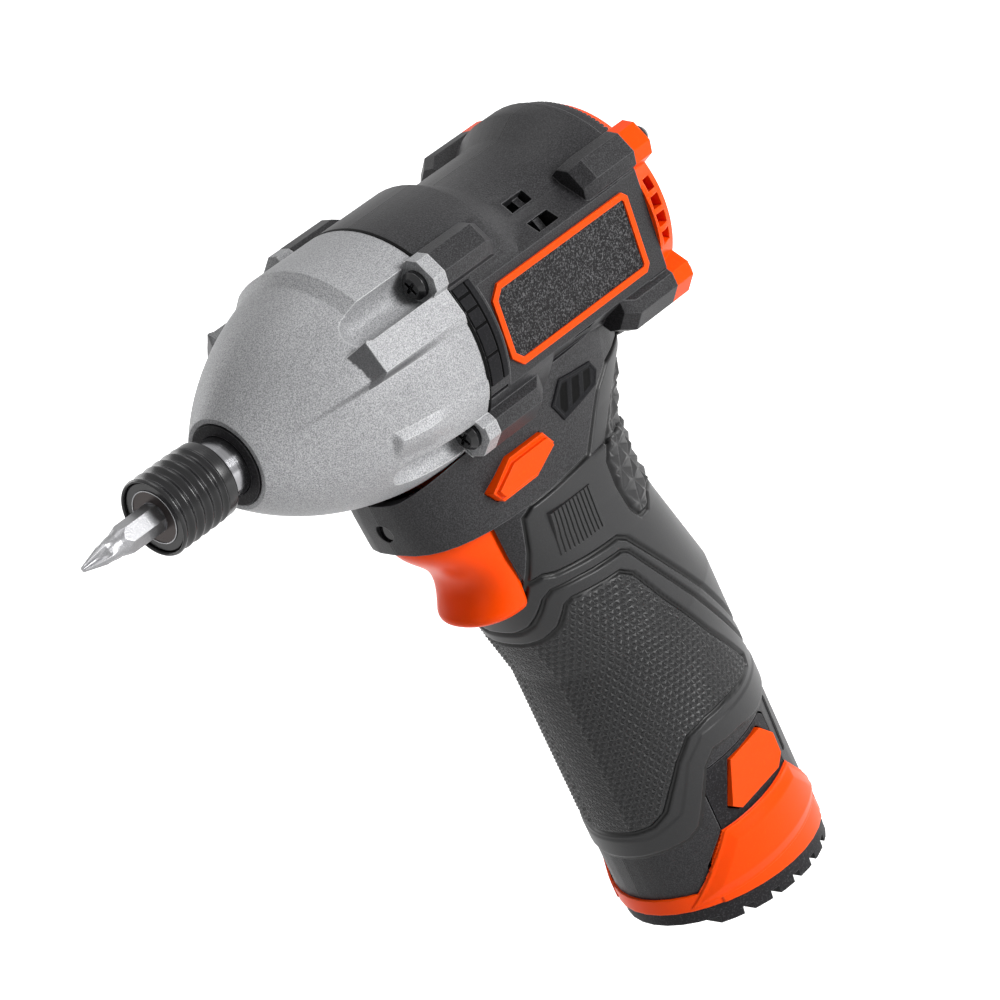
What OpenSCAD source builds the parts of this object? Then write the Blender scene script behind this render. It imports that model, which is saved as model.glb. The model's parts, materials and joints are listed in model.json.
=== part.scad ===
// Cordless impact driver with a stick battery, standing on the battery foot
// The tool axis runs along X towards the bit, Y is the left side, Z is up

/* [Overall] */
// Height of the tool axis above the foot
axis_h = 172; // [120:1:260]
// How far the gear case flange lies ahead of the foot centre
flange_x = 47.2; // [30:0.1:80]
// Lean of the handle in degrees, with the foot to the rear
handle_rake = 6.7; // [0:0.1:12]
// Running clearance between a shaft and its bore
run_gap = 0.05; // [0.02:0.01:0.1]
// Clearance around sliding mouldings
slide_gap = 0.35; // [0.2:0.05:0.6]
// How far a cutting shape passes the face it opens
over = 1; // [0.5:0.1:3]
// Thickness of the slices that the handle is lofted through
slice = 0.02; // [0.01:0.01:0.05]

/* [Gear case] */
// Radius of the gear case at its flange
case_r = 30; // [24:0.5:40]
// Length from the flange to the nose
case_len = 55; // [45:0.5:75]
// Radius of the nose end
nose_r = 11.4; // [10.5:0.1:15]
// Where the bullet curve leaves the cylinder
ogive_start = 5; // [0:0.5:12]
// Length of the plain band ahead of the flange
band_len = 20; // [12:0.5:26]
// Length of the chamfer ahead of the band
band_chamfer = 3.5; // [1:0.1:6]
// Length of the spigot that enters the housing
spigot_len = 12; // [8:0.5:16]
// Radius of the spigot
spigot_r = 24.8; // [20:0.1:32]
// Radius of the room around the hammer
hammer_room_r = 21; // [18:0.1:26]
// Where the hammer room starts to close in
hammer_room_end = 26; // [20:0.5:32]
// Radius of the room around the anvil jaws
anvil_room_r = 17.6; // [14:0.1:24]
// Position of the thrust face ahead of the anvil jaws
thrust_x = 34; // [28:0.5:44]
// Angle of the screw bosses above and below the horizontal
boss_angle = 41; // [30:1:55]
// Radius on which the screw axes lie
boss_pcr = 29.2; // [22:0.1:40]
// Half width of a screw boss
boss_half = 5.2; // [3:0.1:8]
// Length of a screw boss ahead of the flange
boss_len = 4.6; // [3:0.1:8]
// Depth of the seat of a screw in its boss
screw_seat = 0.6; // [0.2:0.1:2]
// Radius of the driver channel ahead of a screw
channel_r = 4.5; // [3:0.1:7]
// Front end of the driver channel
channel_end = 24; // [15:0.5:34]
// Height of the raised side plate above the band
plate_rise = 0.9; // [0.2:0.1:2]
// Front edge of the raised side plate
plate_end = 27; // [18:0.5:34]
// Angles that the raised side plate spans
plate_angles = [18, 33];
// Angles that the lower side rib spans
rib_angles = [-16, -11];

/* [Nose and collet] */
// Outer radius of the anvil bush and nose seal
bush_r = 10; // [8.5:0.1:11]
// Length of the nose seal
seal_len = 2.4; // [1:0.1:5]
// How far the nose seal stands out
seal_out = 0.4; // [0:0.1:1]
// Radius of the anvil shaft
anvil_r = 7.4; // [6:0.1:9]
// Radius of the anvil ahead of its shoulder
anvil_front_r = 6.7; // [5.5:0.1:8]
// Shoulder of the anvil inside the sleeve
anvil_step_x = 75; // [70:0.1:80]
// Front end of the anvil
anvil_end = 78.4; // [74:0.1:90]
// Radius of the collet sleeve
sleeve_r = 9.6; // [8:0.1:13]
// Rear end of the collet sleeve
sleeve_x = 61; // [58:0.1:70]
// Length of the collet sleeve
sleeve_len = 17.2; // [12:0.1:24]
// Length of the plain land that holds the lock balls
sleeve_land = 5; // [3:0.1:7]
// Radius of the spring room in the sleeve
sleeve_room_r = 8.75; // [7.8:0.05:11]
// Length of the plain band at the rear of the sleeve
sleeve_plain = 4.6; // [2:0.1:8]
// Depth of the grooves between the sleeve ridges
ridge_depth = 0.9; // [0.3:0.1:1.4]
// Number of ridges
ridge_count = 4; // [3:1:6]
// Wire radius of the sleeve spring
sleeve_wire_r = 0.4; // [0.2:0.05:0.6]
// Turns of the sleeve spring
sleeve_turns = 6; // [4:1:10]
// Thickness of the retaining ring
ring_clip_t = 1.1; // [0.6:0.1:2]

/* [Bit] */
// Distance across the flats of the hexagon drive
hex_af = 6.35; // [6.3:0.01:6.4]
// Clearance of the hexagon socket across the flats
hex_gap = 0.1; // [0.05:0.01:0.2]
// Rear end of the bit in the socket
bit_x = 54; // [45:0.5:60]
// Where the hexagon ends
bit_hex_end = 89; // [82:0.5:96]
// Where the shank is turned down
bit_neck_x = 92; // [86:0.5:100]
// Radius of the turned neck
bit_neck_r = 2.5; // [1.5:0.1:3]
// Tip of the bit
bit_end = 101.5; // [92:0.5:115]
// Radius of the flat at the tip
bit_tip_r = 0.7; // [0.3:0.1:1.5]
// Radius of the flute cutters
flute_r = 1.5; // [0.8:0.1:2.5]
// Position of the lock balls
ball_lock_x = 64; // [62:0.1:68]
// Radius of a lock ball
ball_lock_r = 1.6; // [1:0.1:2.2]

/* [Hammer and anvil] */
// Outer radius of the hammer
hammer_r = 19.6; // [16:0.1:24]
// Rear face of the hammer at rest
hammer_x = 5; // [2:0.1:9]
// Length of the hammer without its jaws
hammer_len = 19; // [15:0.1:24]
// Length of the hammer jaws
jaw_len = 7; // [4:0.1:10]
// Outer radius of the jaws
jaw_r = 16.8; // [13:0.1:20]
// Inner radius of the hammer jaws
jaw_in_r = 9; // [7:0.1:12]
// Angle that a hammer jaw spans
jaw_angle = 62; // [40:1:80]
// Gap between the hammer face and the anvil jaws
jaw_gap = 1; // [0.4:0.1:2]
// Width of the anvil arms
arm_w = 13; // [8:0.1:18]
// Travel of the hammer to the rear
hammer_travel = 7.5; // [5:0.1:9]
// Depth of the spring room in the hammer
spring_room_len = 14; // [10:0.1:17]
// Inner radius of the spring room in the hammer
spring_room_in = 8.4; // [7.5:0.1:10]
// Outer radius of the spring room in the hammer
spring_room_out = 14.4; // [12:0.1:17]
// Wire radius of the hammer spring
spring_wire_r = 1.3; // [0.8:0.1:1.8]
// Mean radius of the hammer spring
spring_mean_r = 11.4; // [10:0.1:13]
// Turns of the hammer spring
spring_turns = 5; // [4:1:7]
// Thickness of the washer under the hammer spring
washer_t = 1; // [0.5:0.1:2]
// Radius of the hammer balls
cam_ball_r = 2.4; // [1.5:0.1:3]

/* [Gear train] */
// Gear module
gear_m = 0.9; // [0.6:0.05:1.2]
// Teeth of the sun pinion
sun_teeth = 9; // [9:3:15]
// Teeth of a planet gear
planet_teeth = 18; // [15:3:24]
// Tooth thinning on each flank
backlash = 0.11; // [0.05:0.01:0.2]
// Outer radius of the ring gear
ring_r = 23; // [20:0.1:28]
// Rear face of the ring gear
ring_x = -20; // [-26:0.1:-14]
// Length of the ring gear
ring_len = 12.5; // [8:0.1:18]
// Length of a planet gear
planet_len = 9.6; // [6:0.1:14]
// Radius of a planet pin
planet_pin_r = 2; // [1:0.1:3]
// Radius of the cam shaft
shaft_r = 6; // [4:0.1:7.5]
// Radius of the cam shaft journal in the anvil
journal_r = 4; // [2.5:0.1:5]
// Length of the cam shaft journal
journal_len = 8; // [5:0.1:10]
// Radius of the carrier plates
carrier_r = 17.2; // [14:0.1:19]
// Front face of the carrier
carrier_x = -4; // [-8:0.1:0]
// Thickness of the front carrier plate
carrier_t = 4.4; // [3:0.1:6]
// Thickness of the rear carrier plate
carrier_rear_t = 2.2; // [1.5:0.1:4]
// Radius of the posts that join the carrier plates
post_r = 2.6; // [1.5:0.1:3.2]
// Radius on which the posts lie
post_pcr = 14; // [11:0.1:16]
// Radius of the carrier hub in the bearing
hub_r = 8; // [6.5:0.1:9]
// Length of the carrier hub
hub_len = 5; // [3:0.1:7]
// Bore of the carrier hub
hub_bore_r = 5.6; // [5:0.1:6.5]
// Outer radius of the spindle bearing
bearing_r = 12; // [10:0.1:15]
// Length of the spindle bearing
bearing_len = 4.5; // [3:0.1:6]
// Play of a planet gear between the carrier plates
planet_play = 0.3; // [0.2:0.05:0.6]
// Depth of the recess for the carrier in the gear plate
plate_recess = 1.5; // [1:0.1:3]
// Radius of the recess for the carrier in the gear plate
plate_recess_r = 18; // [15:0.1:20]
// Radius of the pinion hole in the gear plate
plate_hole_r = 5.2; // [4.5:0.1:6]
// Addendum as a part of the module
addendum_share = 0.75; // [0.6:0.05:1]
// Dedendum as a part of the module
dedendum_share = 1.1; // [1:0.05:1.3]
// Rear face of the gear plate
plate_x = -30; // [-36:0.1:-26]

/* [Motor] */
// Outer radius of the motor can
can_r = 18.2; // [15:0.1:20]
// Length of the motor's end cap, from its can to the rear of the barrel
end_cap_len = 6; // [4:0.1:9]
// Wall of the motor can
can_wall = 1.4; // [0.8:0.1:2.5]
// Radius of the bearing boss on the can
can_boss_r = 7; // [5:0.1:9]
// Length of the bearing boss on the can
can_boss_len = 2; // [1:0.1:3]
// Radius of the rotor shaft
rotor_r = 1.6; // [1:0.1:2.5]
// How far the rotor shaft reaches past the rear of the barrel
rotor_out = 4; // [1:0.1:6]
// Outer radius of a rotor bearing
rotor_bearing_r = 4.6; // [3:0.1:6]
// Length of a rotor bearing
rotor_bearing_len = 3.4; // [2:0.1:5]
// Inner radius of the magnets
magnet_in_r = 13.2; // [11:0.1:15]
// Angle that a magnet spans
magnet_angle = 132; // [90:1:150]
// Distance from the can's rear edge to the magnets
magnet_back = 3; // [1:0.1:5]
// Distance from the magnets to the can's front face
magnet_front = 8; // [6:0.1:10]
// Radius of the armature
core_r = 12.6; // [10:0.1:14]
// Distance from the can's rear edge to the armature
core_back = 6; // [5:0.1:9]
// Distance from the armature to the can's front face
core_front = 10; // [9:0.1:13]
// Number of armature poles
pole_count = 9; // [5:2:13]
// Width of the slot between two poles
slot_w = 1.3; // [0.8:0.1:2]
// Radius of the armature hub
core_hub_r = 5; // [3:0.1:6]
// Radius of the end windings
coil_r = 11; // [8:0.1:13]
// Length of an end winding
coil_len = 3; // [2:0.1:5]
// Front face of the fan
fan_x = -32.4; // [-34:0.1:-31]
// Length of the fan
fan_len = 4; // [3:0.1:6]
// Radius of the fan
fan_r = 12.8; // [10:0.1:15]
// Thickness of a fan blade
fan_blade_t = 0.9; // [0.5:0.1:1.5]
// Number of fan blades
fan_count = 11; // [7:2:15]
// Radius of the commutator
comm_r = 5.4; // [4:0.1:7]
// Distance from the can's rear edge to the front of the commutator
comm_back = 2.6; // [2:0.1:3]
// Length of the commutator
comm_len = 5; // [3:0.1:7]
// Width of a carbon brush along the axis
brush_w = 3.4; // [2:0.1:5]
// Radius at the outer end of a brush
brush_out_r = 14.9; // [10:0.1:16]
// Radius of the boss on the motor end cap
end_boss_r = 6.4; // [5:0.1:8]
// Length of the boss on the motor end cap
end_boss_len = 3; // [1:0.1:5]

/* [Barrel housing] */
// Radius of the front and rear rings of the housing
barrel_r = 30; // [24:0.5:40]
// Radius of the waist between the rings
waist_r = 26.5; // [22:0.1:34]
// Length of the front ring
front_ring_len = 23; // [16:0.5:28]
// Length of the slope from a ring down to the waist
ring_slope = 6.5; // [3:0.5:10]
// Length of the housing behind the flange
barrel_len = 66; // [55:0.5:80]
// Length of the rear ring
rear_ring_len = 6; // [3:0.5:12]
// Half width of the housing over its side flats
flat_y = 27.2; // [22:0.1:36]
// Half height of the side flats
flat_h = 12.6; // [8:0.1:18]
// Distance from the flange to the front of the side flats
flat_x = 8; // [4:0.5:14]
// Radius of the room for the gear plate
gear_room_r = 25; // [21:0.1:32]
// Radius of the room for the motor
motor_room_r = 23.4; // [20:0.1:30]
// Thickness of the ribs that hold the motor
motor_rib_t = 2; // [1:0.1:4]
// Distance from the front face of the motor to its front rib
rib_front = 9; // [6:0.1:12]
// Distance from the can's rear edge to its rear rib
rib_back = 3; // [1:0.1:6]
// Length of the front boss blocks
front_block_len = 18; // [10:0.5:24]
// Length of the rear boss blocks
rear_block_len = 17; // [10:0.5:24]
// Angle of the rear bosses above and below the horizontal
rear_boss_angle = 36; // [25:1:50]
// Radius on which the rear blocks lie
rear_boss_pcr = 28.4; // [22:0.1:38]
// Radius on which the rear screws lie
rear_screw_pcr = 30; // [24:0.1:40]
// Radius of the heads of the rear screws
rear_head_r = 3; // [2:0.1:3.2]
// Corner cut of the boss blocks
block_cut = 2.4; // [0.5:0.1:4]
// Depth of the tread notches beside the flange
notch_depth = 1; // [0.4:0.1:2]
// Width of the tread band beside the flange
notch_band = 6; // [3:0.1:8]
// Number of tread blocks on each side
notch_count = 4; // [3:1:7]
// Half angle that the tread band spans
notch_half_angle = 24; // [15:1:28]
// Gap between two tread blocks in degrees
notch_gap_angle = 2; // [1:0.5:4]
// Length of a cooling slot
vent_len = 7.2; // [4:0.1:12]
// Height of a cooling slot
vent_h = 3.4; // [2:0.1:6]
// Front edge of the cooling slots
vent_x = -32.5; // [-36:0.1:-30]
// Angles of the cooling slots
vent_angles = [47, 31, -29];

/* [Label] */
// Distance from the label frame to the rear of the barrel
label_back = 5.6; // [3:0.1:9]
// Half height of the label frame
label_half = 10.3; // [7:0.1:14]
// Front end of the label frame
label_x = -10.4; // [-14:0.1:-8]
// Corner cut of the label frame
label_cut = 3; // [1:0.1:6]
// Width of the frame band
label_band = 1.6; // [0.8:0.1:3]
// How far the frame stands out
label_rise = 0.7; // [0.3:0.1:1.5]
// Depth of the label pocket
label_pocket = 0.8; // [0.4:0.1:1.5]
// How far the grained plate stands out
label_plate_rise = 0.25; // [0.1:0.05:0.6]

/* [Rear cap] */
// Radius of the rear cap where it meets the housing
cap_r = 28.4; // [22:0.1:38]
// Radius of the rear cap at its rim
cap_rim_r = 26.4; // [20:0.1:36]
// Length of the rear cap to its rim
cap_len = 7; // [4:0.1:12]
// Height of the domed rear face
cap_dome = 2.4; // [1:0.1:5]
// Wall of the rear cap
cap_wall = 2; // [1.2:0.1:3]
// Length of a rear cap lug
lug_len = 6; // [3:0.1:9]
// Side of a square vent in the rim
cap_vent = 3.2; // [2:0.1:5]
// Angles of the vents in the rim
cap_vent_angles = [-13, -3.5, 6, 15.5];

/* [Handle] */
// Half depth of the handle from front to rear
grip_a = 28.6; // [24:0.1:36]
// Half width of the handle
grip_b = 23.4; // [20.5:0.1:30]
// Wall of the handle around the battery
grip_wall = 3; // [2.4:0.1:4]
// Thickness of the rubber overmould
rubber_t = 1.2; // [0.6:0.1:1.6]
// Distance from the tool axis down to the top of the straight handle
neck_drop = 91; // [85:0.5:100]
// Height of the lower edge of the handle above the foot
grip_foot = 10.2; // [8:0.1:16]
// Depths below the tool axis of the neck slices behind the trigger
neck_zs = [-66, -56, -44.4];
// Front ends of the neck slices
neck_fronts = [0.5, 2.5, 4];
// Rear ends of the neck slices
neck_rears = [-57, -53, -52.2];
// Half widths of the neck slices
neck_widths = [21.2, 20.4, 20];
// Roundness of the neck slices, where 2 is an ellipse
neck_powers = [2.3, 2.6, 2.8];
// Depths below the tool axis of the chin slices
chin_zs = [-44.4, -36, -28, -18];
// Front ends of the chin slices
chin_fronts = [18.2, 20, 21.2, 21.6];
// Distances from the rear ends of the chin slices to the rear of the barrel
chin_backs = [13.8, 10, 5, 2];
// Half widths of the chin slices
chin_widths = [20, 20, 20.4, 20.8];
// Roundness of the chin slices
chin_powers = [2.8, 2.8, 2.8, 2.8];
// Points around a handle slice
slice_points = 36; // [24:4:60]
// Gap between the chin and the gear case
chin_gap = 0.5; // [0.3:0.1:1]
// Side view of the rubber overmould from the flange forwards: its lower edge
rubber_foot_xs = [10, -18, -24, -28, -33, -60, -80];
// Heights of those points above the floor
rubber_foot_zs = [29, 28.5, 33, 45, 50, 52, 54];
// Side view of the rubber overmould from the flange forwards: its upper edge
rubber_xs = [-80, -56, -46, -40, -30, -9, -6, -5, -3, 2];
// Heights of those points from the tool axis
rubber_zs = [-25, -25, -27, -31, -43, -45, -47, -56, -68, -69];

/* [Trigger] */
// Half width of the trigger
trigger_b = 13.2; // [9:0.1:16]
// Top of the trigger below the tool axis
trigger_top = -44.9; // [-50:0.1:-40]
// Bottom of the trigger below the tool axis
trigger_bottom = -70.4; // [-78:0.1:-60]
// Front of the flared top of the trigger
trigger_flare = 18; // [12:0.1:22]
// Front of the finger scoop
trigger_scoop = 10; // [6:0.1:14]
// Front of the lower lip
trigger_lip = 12.4; // [8:0.1:16]
// Rear of the trigger inside the housing
trigger_rear = -5; // [-10:0.1:-2]
// Travel of the trigger
trigger_travel = 6; // [3:0.1:8]
// Side of the guide block behind the trigger
trigger_guide = 9; // [5:0.1:12]
// Length of the guide block
trigger_guide_len = 4; // [2:0.1:6]
// Radius of the switch rod
rod_r = 2.4; // [1.5:0.1:4]
// Front of the switch
switch_x = -17; // [-22:0.1:-14]
// Length of the switch
switch_len = 22; // [15:0.5:26]
// Half width of the switch
switch_b = 9; // [6:0.1:12]
// Height of the switch
switch_h = 19; // [12:0.5:22]
// Middle of the switch below the tool axis
switch_z = -58; // [-64:0.1:-54]
// Half width of the mounting ribs along the axis
switch_rib = 3; // [1.5:0.1:5]

/* [Selector] */
// Middle of the selector from the flange
selector_x = -8.5; // [-14:0.1:-4]
// Middle of the selector below the tool axis
selector_z = -34.6; // [-40:0.1:-32]
// Length of the selector
selector_len = 22.5; // [14:0.1:28]
// Height of the selector
selector_h = 8.2; // [5:0.1:10]
// Length of the pointed ends
selector_point = 8; // [3:0.1:10]
// How far each end stands out of the housing
selector_out = 2.6; // [1.5:0.1:4]
// Bevel of the selector ends
selector_bevel = 1.2; // [0.4:0.1:2]
// Half width of the selector tail over the switch
selector_tail = 2; // [1:0.1:3]

/* [Clamshell screws] */
// Positions of the screws from the flange
shell_screw_xs = [-42, 8.5, -47];
// Positions of the screws below the tool axis
shell_screw_zs = [-41, -39.5, -66];
// Radius of a screw post
shell_post_r = 3.6; // [3:0.1:5]
// Half length of a screw post
shell_post_half = 18; // [14:0.5:20]
// Shank radius of a clamshell screw
shell_screw_r = 1.5; // [1:0.1:2]
// Head radius of a clamshell screw
shell_head_r = 2.8; // [2:0.1:3.4]
// Head height of a clamshell screw
shell_head_h = 2; // [1:0.1:3]
// Distance of a screw head from the seam
shell_head_y = 13; // [9:0.5:16]
// Shank length of a clamshell screw
shell_screw_len = 22; // [16:0.5:26]

/* [Lamp] */
// Middle of the lamp below the tool axis
lamp_z = -38; // [-42:0.1:-34]
// Radius of the lamp lens
lamp_r = 2.4; // [1.5:0.1:3.5]
// Length of the lamp lens
lamp_len = 4; // [3:0.1:9]
// How far the lens lies behind the chin face
lamp_set = 1.6; // [0.5:0.1:3]

/* [Battery] */
// Clearance of the battery in the handle
battery_gap = 0.35; // [0.25:0.05:0.6]
// Wall of the battery case
battery_wall = 0.9; // [0.8:0.1:1.4]
// Distance from the tool axis down to the top of the battery case
battery_drop = 91.5; // [88:0.5:100]
// Lower edge of the orange band above the foot
band_z = 5.8; // [4:0.1:8]
// How far the band stands out of the handle
band_out = 0.7; // [0.2:0.1:1.5]
// Underside of the foot above the treads
tread_h = 2; // [1:0.1:4]
// Length of a tread lug
tread_len = 5; // [3:0.1:8]
// Gap between two tread lugs
tread_gap = 2.6; // [1.5:0.1:4]
// Width of the plain strip between two rows of lugs
tread_mid = 16; // [8:0.5:24]
// Number of lugs in a row
tread_count = 6; // [4:1:8]
// Width of the square lug in the middle of the foot
foot_pad = 10.8; // [6:0.1:14]
// Diameter of a cell
cell_d = 18; // [17:0.1:18.3]
// Pitch of the cells
cell_pitch = 18.1; // [17.5:0.1:18.6]
// Rear end of the cells along the handle
cell_z = 11.5; // [10:0.5:18]
// Thickness of the cell holder plates
holder_t = 2; // [1.5:0.1:4]
// Height of the side panel above the foot
panel_top = 26; // [20:0.1:32]
// Half length of the side panel at its top
panel_half = 13.2; // [9:0.1:17]
// Half length of the side panel at the band
panel_foot_half = 26; // [18:0.1:28]
// How far the side panel stands out of the handle
panel_out = 1; // [0.4:0.1:2]
// Width of a contact blade
blade_w = 6; // [3:0.1:8]
// Thickness of a contact blade
blade_t = 0.8; // [0.5:0.1:1.2]
// Length of a contact blade below its block
blade_len = 7; // [6:0.1:9.5]
// Clearance of a contact blade in its clip
blade_gap = 0.15; // [0.1:0.05:0.4]
// Pitch of the contact blades
blade_pitch = 10; // [7:0.1:13]
// Thickness of the terminal block
terminal_t = 5; // [3:0.1:8]
// Distance from the tool axis down to the terminal block
terminal_drop = 83.5; // [80:0.5:86]
// Height of a contact clip
clip_h = 5; // [4:0.1:9]

/* [Release buttons] */
// Lower edge of a button above the foot along the handle
button_z = 28.4; // [26:0.1:34]
// Height of a button
button_h = 12.6; // [8:0.1:18]
// Half length of a button
button_half = 11; // [7:0.1:13]
// Corners of a button as parts of its half length
button_x_shares = [-0.78, 0.64, 0.88, 0.4, -0.74, -1.04, -1.02];
// Corners of a button as parts of its height
button_z_shares = [0, 0, 0.19, 1, 1, 0.68, 0.21];
// Thickness of a button
button_t = 4.6; // [3:0.1:6]
// Depth of the spring pocket in a button
button_pocket = 2; // [1:0.1:3]
// Radius of the spring pocket in a button
button_pocket_r = 2.4; // [1.5:0.1:3.5]
// Thickness of the floor behind a button
button_floor = 0.6; // [0.4:0.1:1]
// Distance of the floor from the handle axis
button_floor_y = 17; // [16.9:0.05:18]
// Turns of a button spring
button_turns = 3; // [3:1:5]
// Travel of a button = 1.4; // [0.8:0.1:2]
// How far a button stands out of the handle
button_out = 0.4; // [0:0.1:1]
// Rim of the pad around a button
pad_rim = 1.6; // [1:0.1:3]
// Wire radius of a button spring
button_wire_r = 0.25; // [0.15:0.05:0.4]

/* [Screws] */
// Head radius of a case screw
screw_head_r = 3.4; // [2:0.1:4.5]
// Head height of a case screw
screw_head_h = 2.4; // [1.5:0.1:4]
// Shank radius of a case screw
screw_r = 1.9; // [1:0.1:2.5]
// Shank length of a case screw
screw_len = 16; // [8:0.5:22]
// Width of the cross slot in a screw head
cross_w = 0.9; // [0.5:0.1:1.5]
// Depth of the cross slot in a screw head
cross_d = 1.2; // [0.5:0.1:2]
// Half length of the cross slot in a screw head
cross_l = 1.9; // [1:0.1:2.5]

/* [Hidden] */
// Which piece is drawn, or all of them
node = "all";
NODES = [
    "housing_left",
    "housing_right",
    "grip_left",
    "grip_right",
    "gear_case",
    "gear_case_screws",
    "nose_seal",
    "anvil_bush",
    "ring_gear",
    "gear_plate",
    "spindle_bearing",
    "motor_can",
    "motor_magnets",
    "motor_end_cap",
    "carbon_brushes",
    "rotor_bearings",
    "rear_cap",
    "rear_cap_screws",
    "label_frame_left",
    "label_frame_right",
    "label_plate_left",
    "label_plate_right",
    "trigger_switch",
    "lamp_lens",
    "housing_screws",
    "terminal_block",
    "terminal_blades",
    "rotor_shaft",
    "armature_core",
    "end_windings",
    "commutator",
    "cooling_fan",
    "sun_pinion",
    "cam_shaft",
    "planet_pins",
    "spring_washer",
    "planet_1",
    "planet_2",
    "planet_3",
    "hammer",
    "hammer_balls",
    "hammer_spring",
    "anvil",
    "driver_bit",
    "lock_balls",
    "retaining_ring",
    "collet_sleeve",
    "sleeve_spring",
    "trigger",
    "switch_rod",
    "selector",
    "battery_case",
    "battery_band",
    "battery_foot",
    "battery_cells",
    "cell_holder",
    "battery_contacts",
    "release_left",
    "release_right",
    "release_springs",
];

$fn = 64;
dark = [0.2, 0.2, 0.21];
soft = [0.15, 0.15, 0.16];
orange = [1, 0.33, 0.02];
silver = [0.7, 0.71, 0.73];
steel = [0.6, 0.61, 0.63];
bronze = [0.72, 0.5, 0.28];
copper = [0.75, 0.42, 0.22];
black = [0.08, 0.08, 0.09];

// Arc of the dome, tangent to the flange cylinder and ending on the nose
ogive_run = case_len - ogive_start;
ogive_drop = case_r - nose_r;
ogive_r = (ogive_run * ogive_run + ogive_drop * ogive_drop) / (2 * ogive_drop);
function ogive(x) = case_r - ogive_r + sqrt(ogive_r * ogive_r - (x - ogive_start) * (x - ogive_start));
dome_x = band_len + band_chamfer;
dome_steps = 14;
function dome_points(grow) = [
  for (i = [0 : dome_steps])
    let (x = dome_x + (case_len - dome_x) * i / dome_steps)
    [ogive(x) + grow, x]
];

// Stations of the gear train along the axis
seat_x = boss_len - screw_seat;
ring_front = ring_x + ring_len;
planet_x = carrier_x - carrier_t - planet_play - planet_len;
carrier_rear_x = planet_x - planet_play;
hub_x = carrier_rear_x - carrier_rear_t;
hammer_front = hammer_x + hammer_len;
anvil_x = hammer_front + jaw_gap;
cam_front = hammer_front + jaw_gap / 2;
cam_ball_x = hammer_x + hammer_len * 0.55;
cam_ball_pcr = shaft_r + cam_ball_r / 4;
ring_teeth = sun_teeth + 2 * planet_teeth;
planet_pcr = gear_m * (sun_teeth + planet_teeth) / 2;
bearing_x = ring_x - plate_recess - bearing_len;
boss_x = plate_x + can_boss_len;
can_end = end_cap_len - barrel_len;
end_cap_x = -barrel_len;
rotor_end = -barrel_len - rotor_out;
magnet_x = can_end + magnet_back;
magnet_len = plate_x - magnet_front - magnet_x;
core_x = can_end + core_back;
core_len = plate_x - core_front - core_x;
comm_x = can_end + comm_back;
motor_rib_xs = [plate_x - rib_front, can_end + rib_back];

// Stations of the handle and battery
grip_len = axis_h - neck_drop;
battery_len = axis_h - battery_drop;
terminal_z = axis_h - terminal_drop;
chin_rears = [for (b = chin_backs) b - barrel_len];
well_a = grip_a - grip_wall;
well_b = grip_b - grip_wall;
pack_a = well_a - battery_gap;
pack_b = well_b - battery_gap;
cell_y = cell_pitch * sqrt(3) / 4;
holder_top = battery_len - 2 * battery_wall - holder_t;
cell_len = holder_top - cell_z;
pad_top = button_z + button_h + pad_rim;
selector_half = chin_widths[0] + selector_out;
trigger_h = trigger_top - trigger_bottom;
trigger_mid = (trigger_top + trigger_bottom) / 2;
guide_rear = trigger_rear - trigger_guide_len;

// Four angles mirrored left and right and up and down
function four(a) = [a, -a, 180 - a, 180 + a];

// Superellipse with half sizes a and b
function oval(a, b, power, count) = [
  for (i = [0 : count - 1])
    let (c = cos(360 * i / count), s = sin(360 * i / count))
    [a * sign(c) * pow(abs(c), 2 / power), b * sign(s) * pow(abs(s), 2 / power)]
];

// Hexagon with a distance across its flats
function hexagon(af) = [for (i = [0 : 5]) [cos(60 * i) * af / sqrt(3), sin(60 * i) * af / sqrt(3)]];

// Involute gear outline, thinned on each flank
function inv(a) = tan(a) * 180 / PI - a;
function flank(teeth, r, thin) =
  let (rp = gear_m * teeth / 2, rb = rp * cos(20))
  90 / teeth - thin / rp * 180 / PI + inv(20) - (r > rb ? inv(acos(rb / r)) : 0);
flank_steps = 3;
function gear_points(teeth, root, tip, thin) = [
  for (i = [0 : teeth - 1], k = [0 : 2 * flank_steps + 1])
    let (
      up = k <= flank_steps,
      j = up ? k : 2 * flank_steps + 1 - k,
      r = root + (tip - root) * j / flank_steps,
      a = 360 * i / teeth + (up ? -1 : 1) * flank(teeth, r, thin)
    )
    [r * cos(a), r * sin(a)]
];
function pitch_r(teeth) = gear_m * teeth / 2;
function tip_r(teeth) = pitch_r(teeth) + gear_m * addendum_share;
function root_r(teeth) = pitch_r(teeth) - gear_m * dedendum_share;

// Closed skin over a stack of rings with equal numbers of points
function skin_faces(rings, n) = concat(
  [[for (k = [0 : n - 1]) k], [for (k = [n - 1 : -1 : 0]) (rings - 1) * n + k]],
  [
    for (i = [0 : rings - 2], k = [0 : n - 1])
      let (a = i * n + k, b = i * n + (k + 1) % n)
      each [[a, a + n, b], [b, a + n, b + n]]
  ]
);
module skin(rings) {
  polyhedron([for (ring = rings) each ring], skin_faces(len(rings), len(rings[0])));
}

// Round wire wound into a spring along Z, as one tube
coil_segments = 12;
wire_sides = 6;
function coil_rings(mean, wire, run, turns) = [
  for (i = [0 : turns * coil_segments])
    let (
      a = 360 * i / coil_segments,
      z = wire + (run - 2 * wire) * i / (turns * coil_segments)
    )
    [
      for (k = [0 : wire_sides - 1])
        let (b = 360 * k / wire_sides, r = mean + wire * cos(b))
        [r * cos(a), r * sin(a), z + wire * sin(b)]
    ]
];
// Least distance between one turn and the next
function coil_gap(rings) = min([
  for (i = [0 : len(rings) - coil_segments - 1], p = rings[i], q = rings[i + coil_segments])
    norm(p - q)
]);
module coil(mean, wire, run, turns) {
  rings = coil_rings(mean, wire, run, turns);
  skin(rings);
  echo(spring_gap = coil_gap(rings));
}

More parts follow.
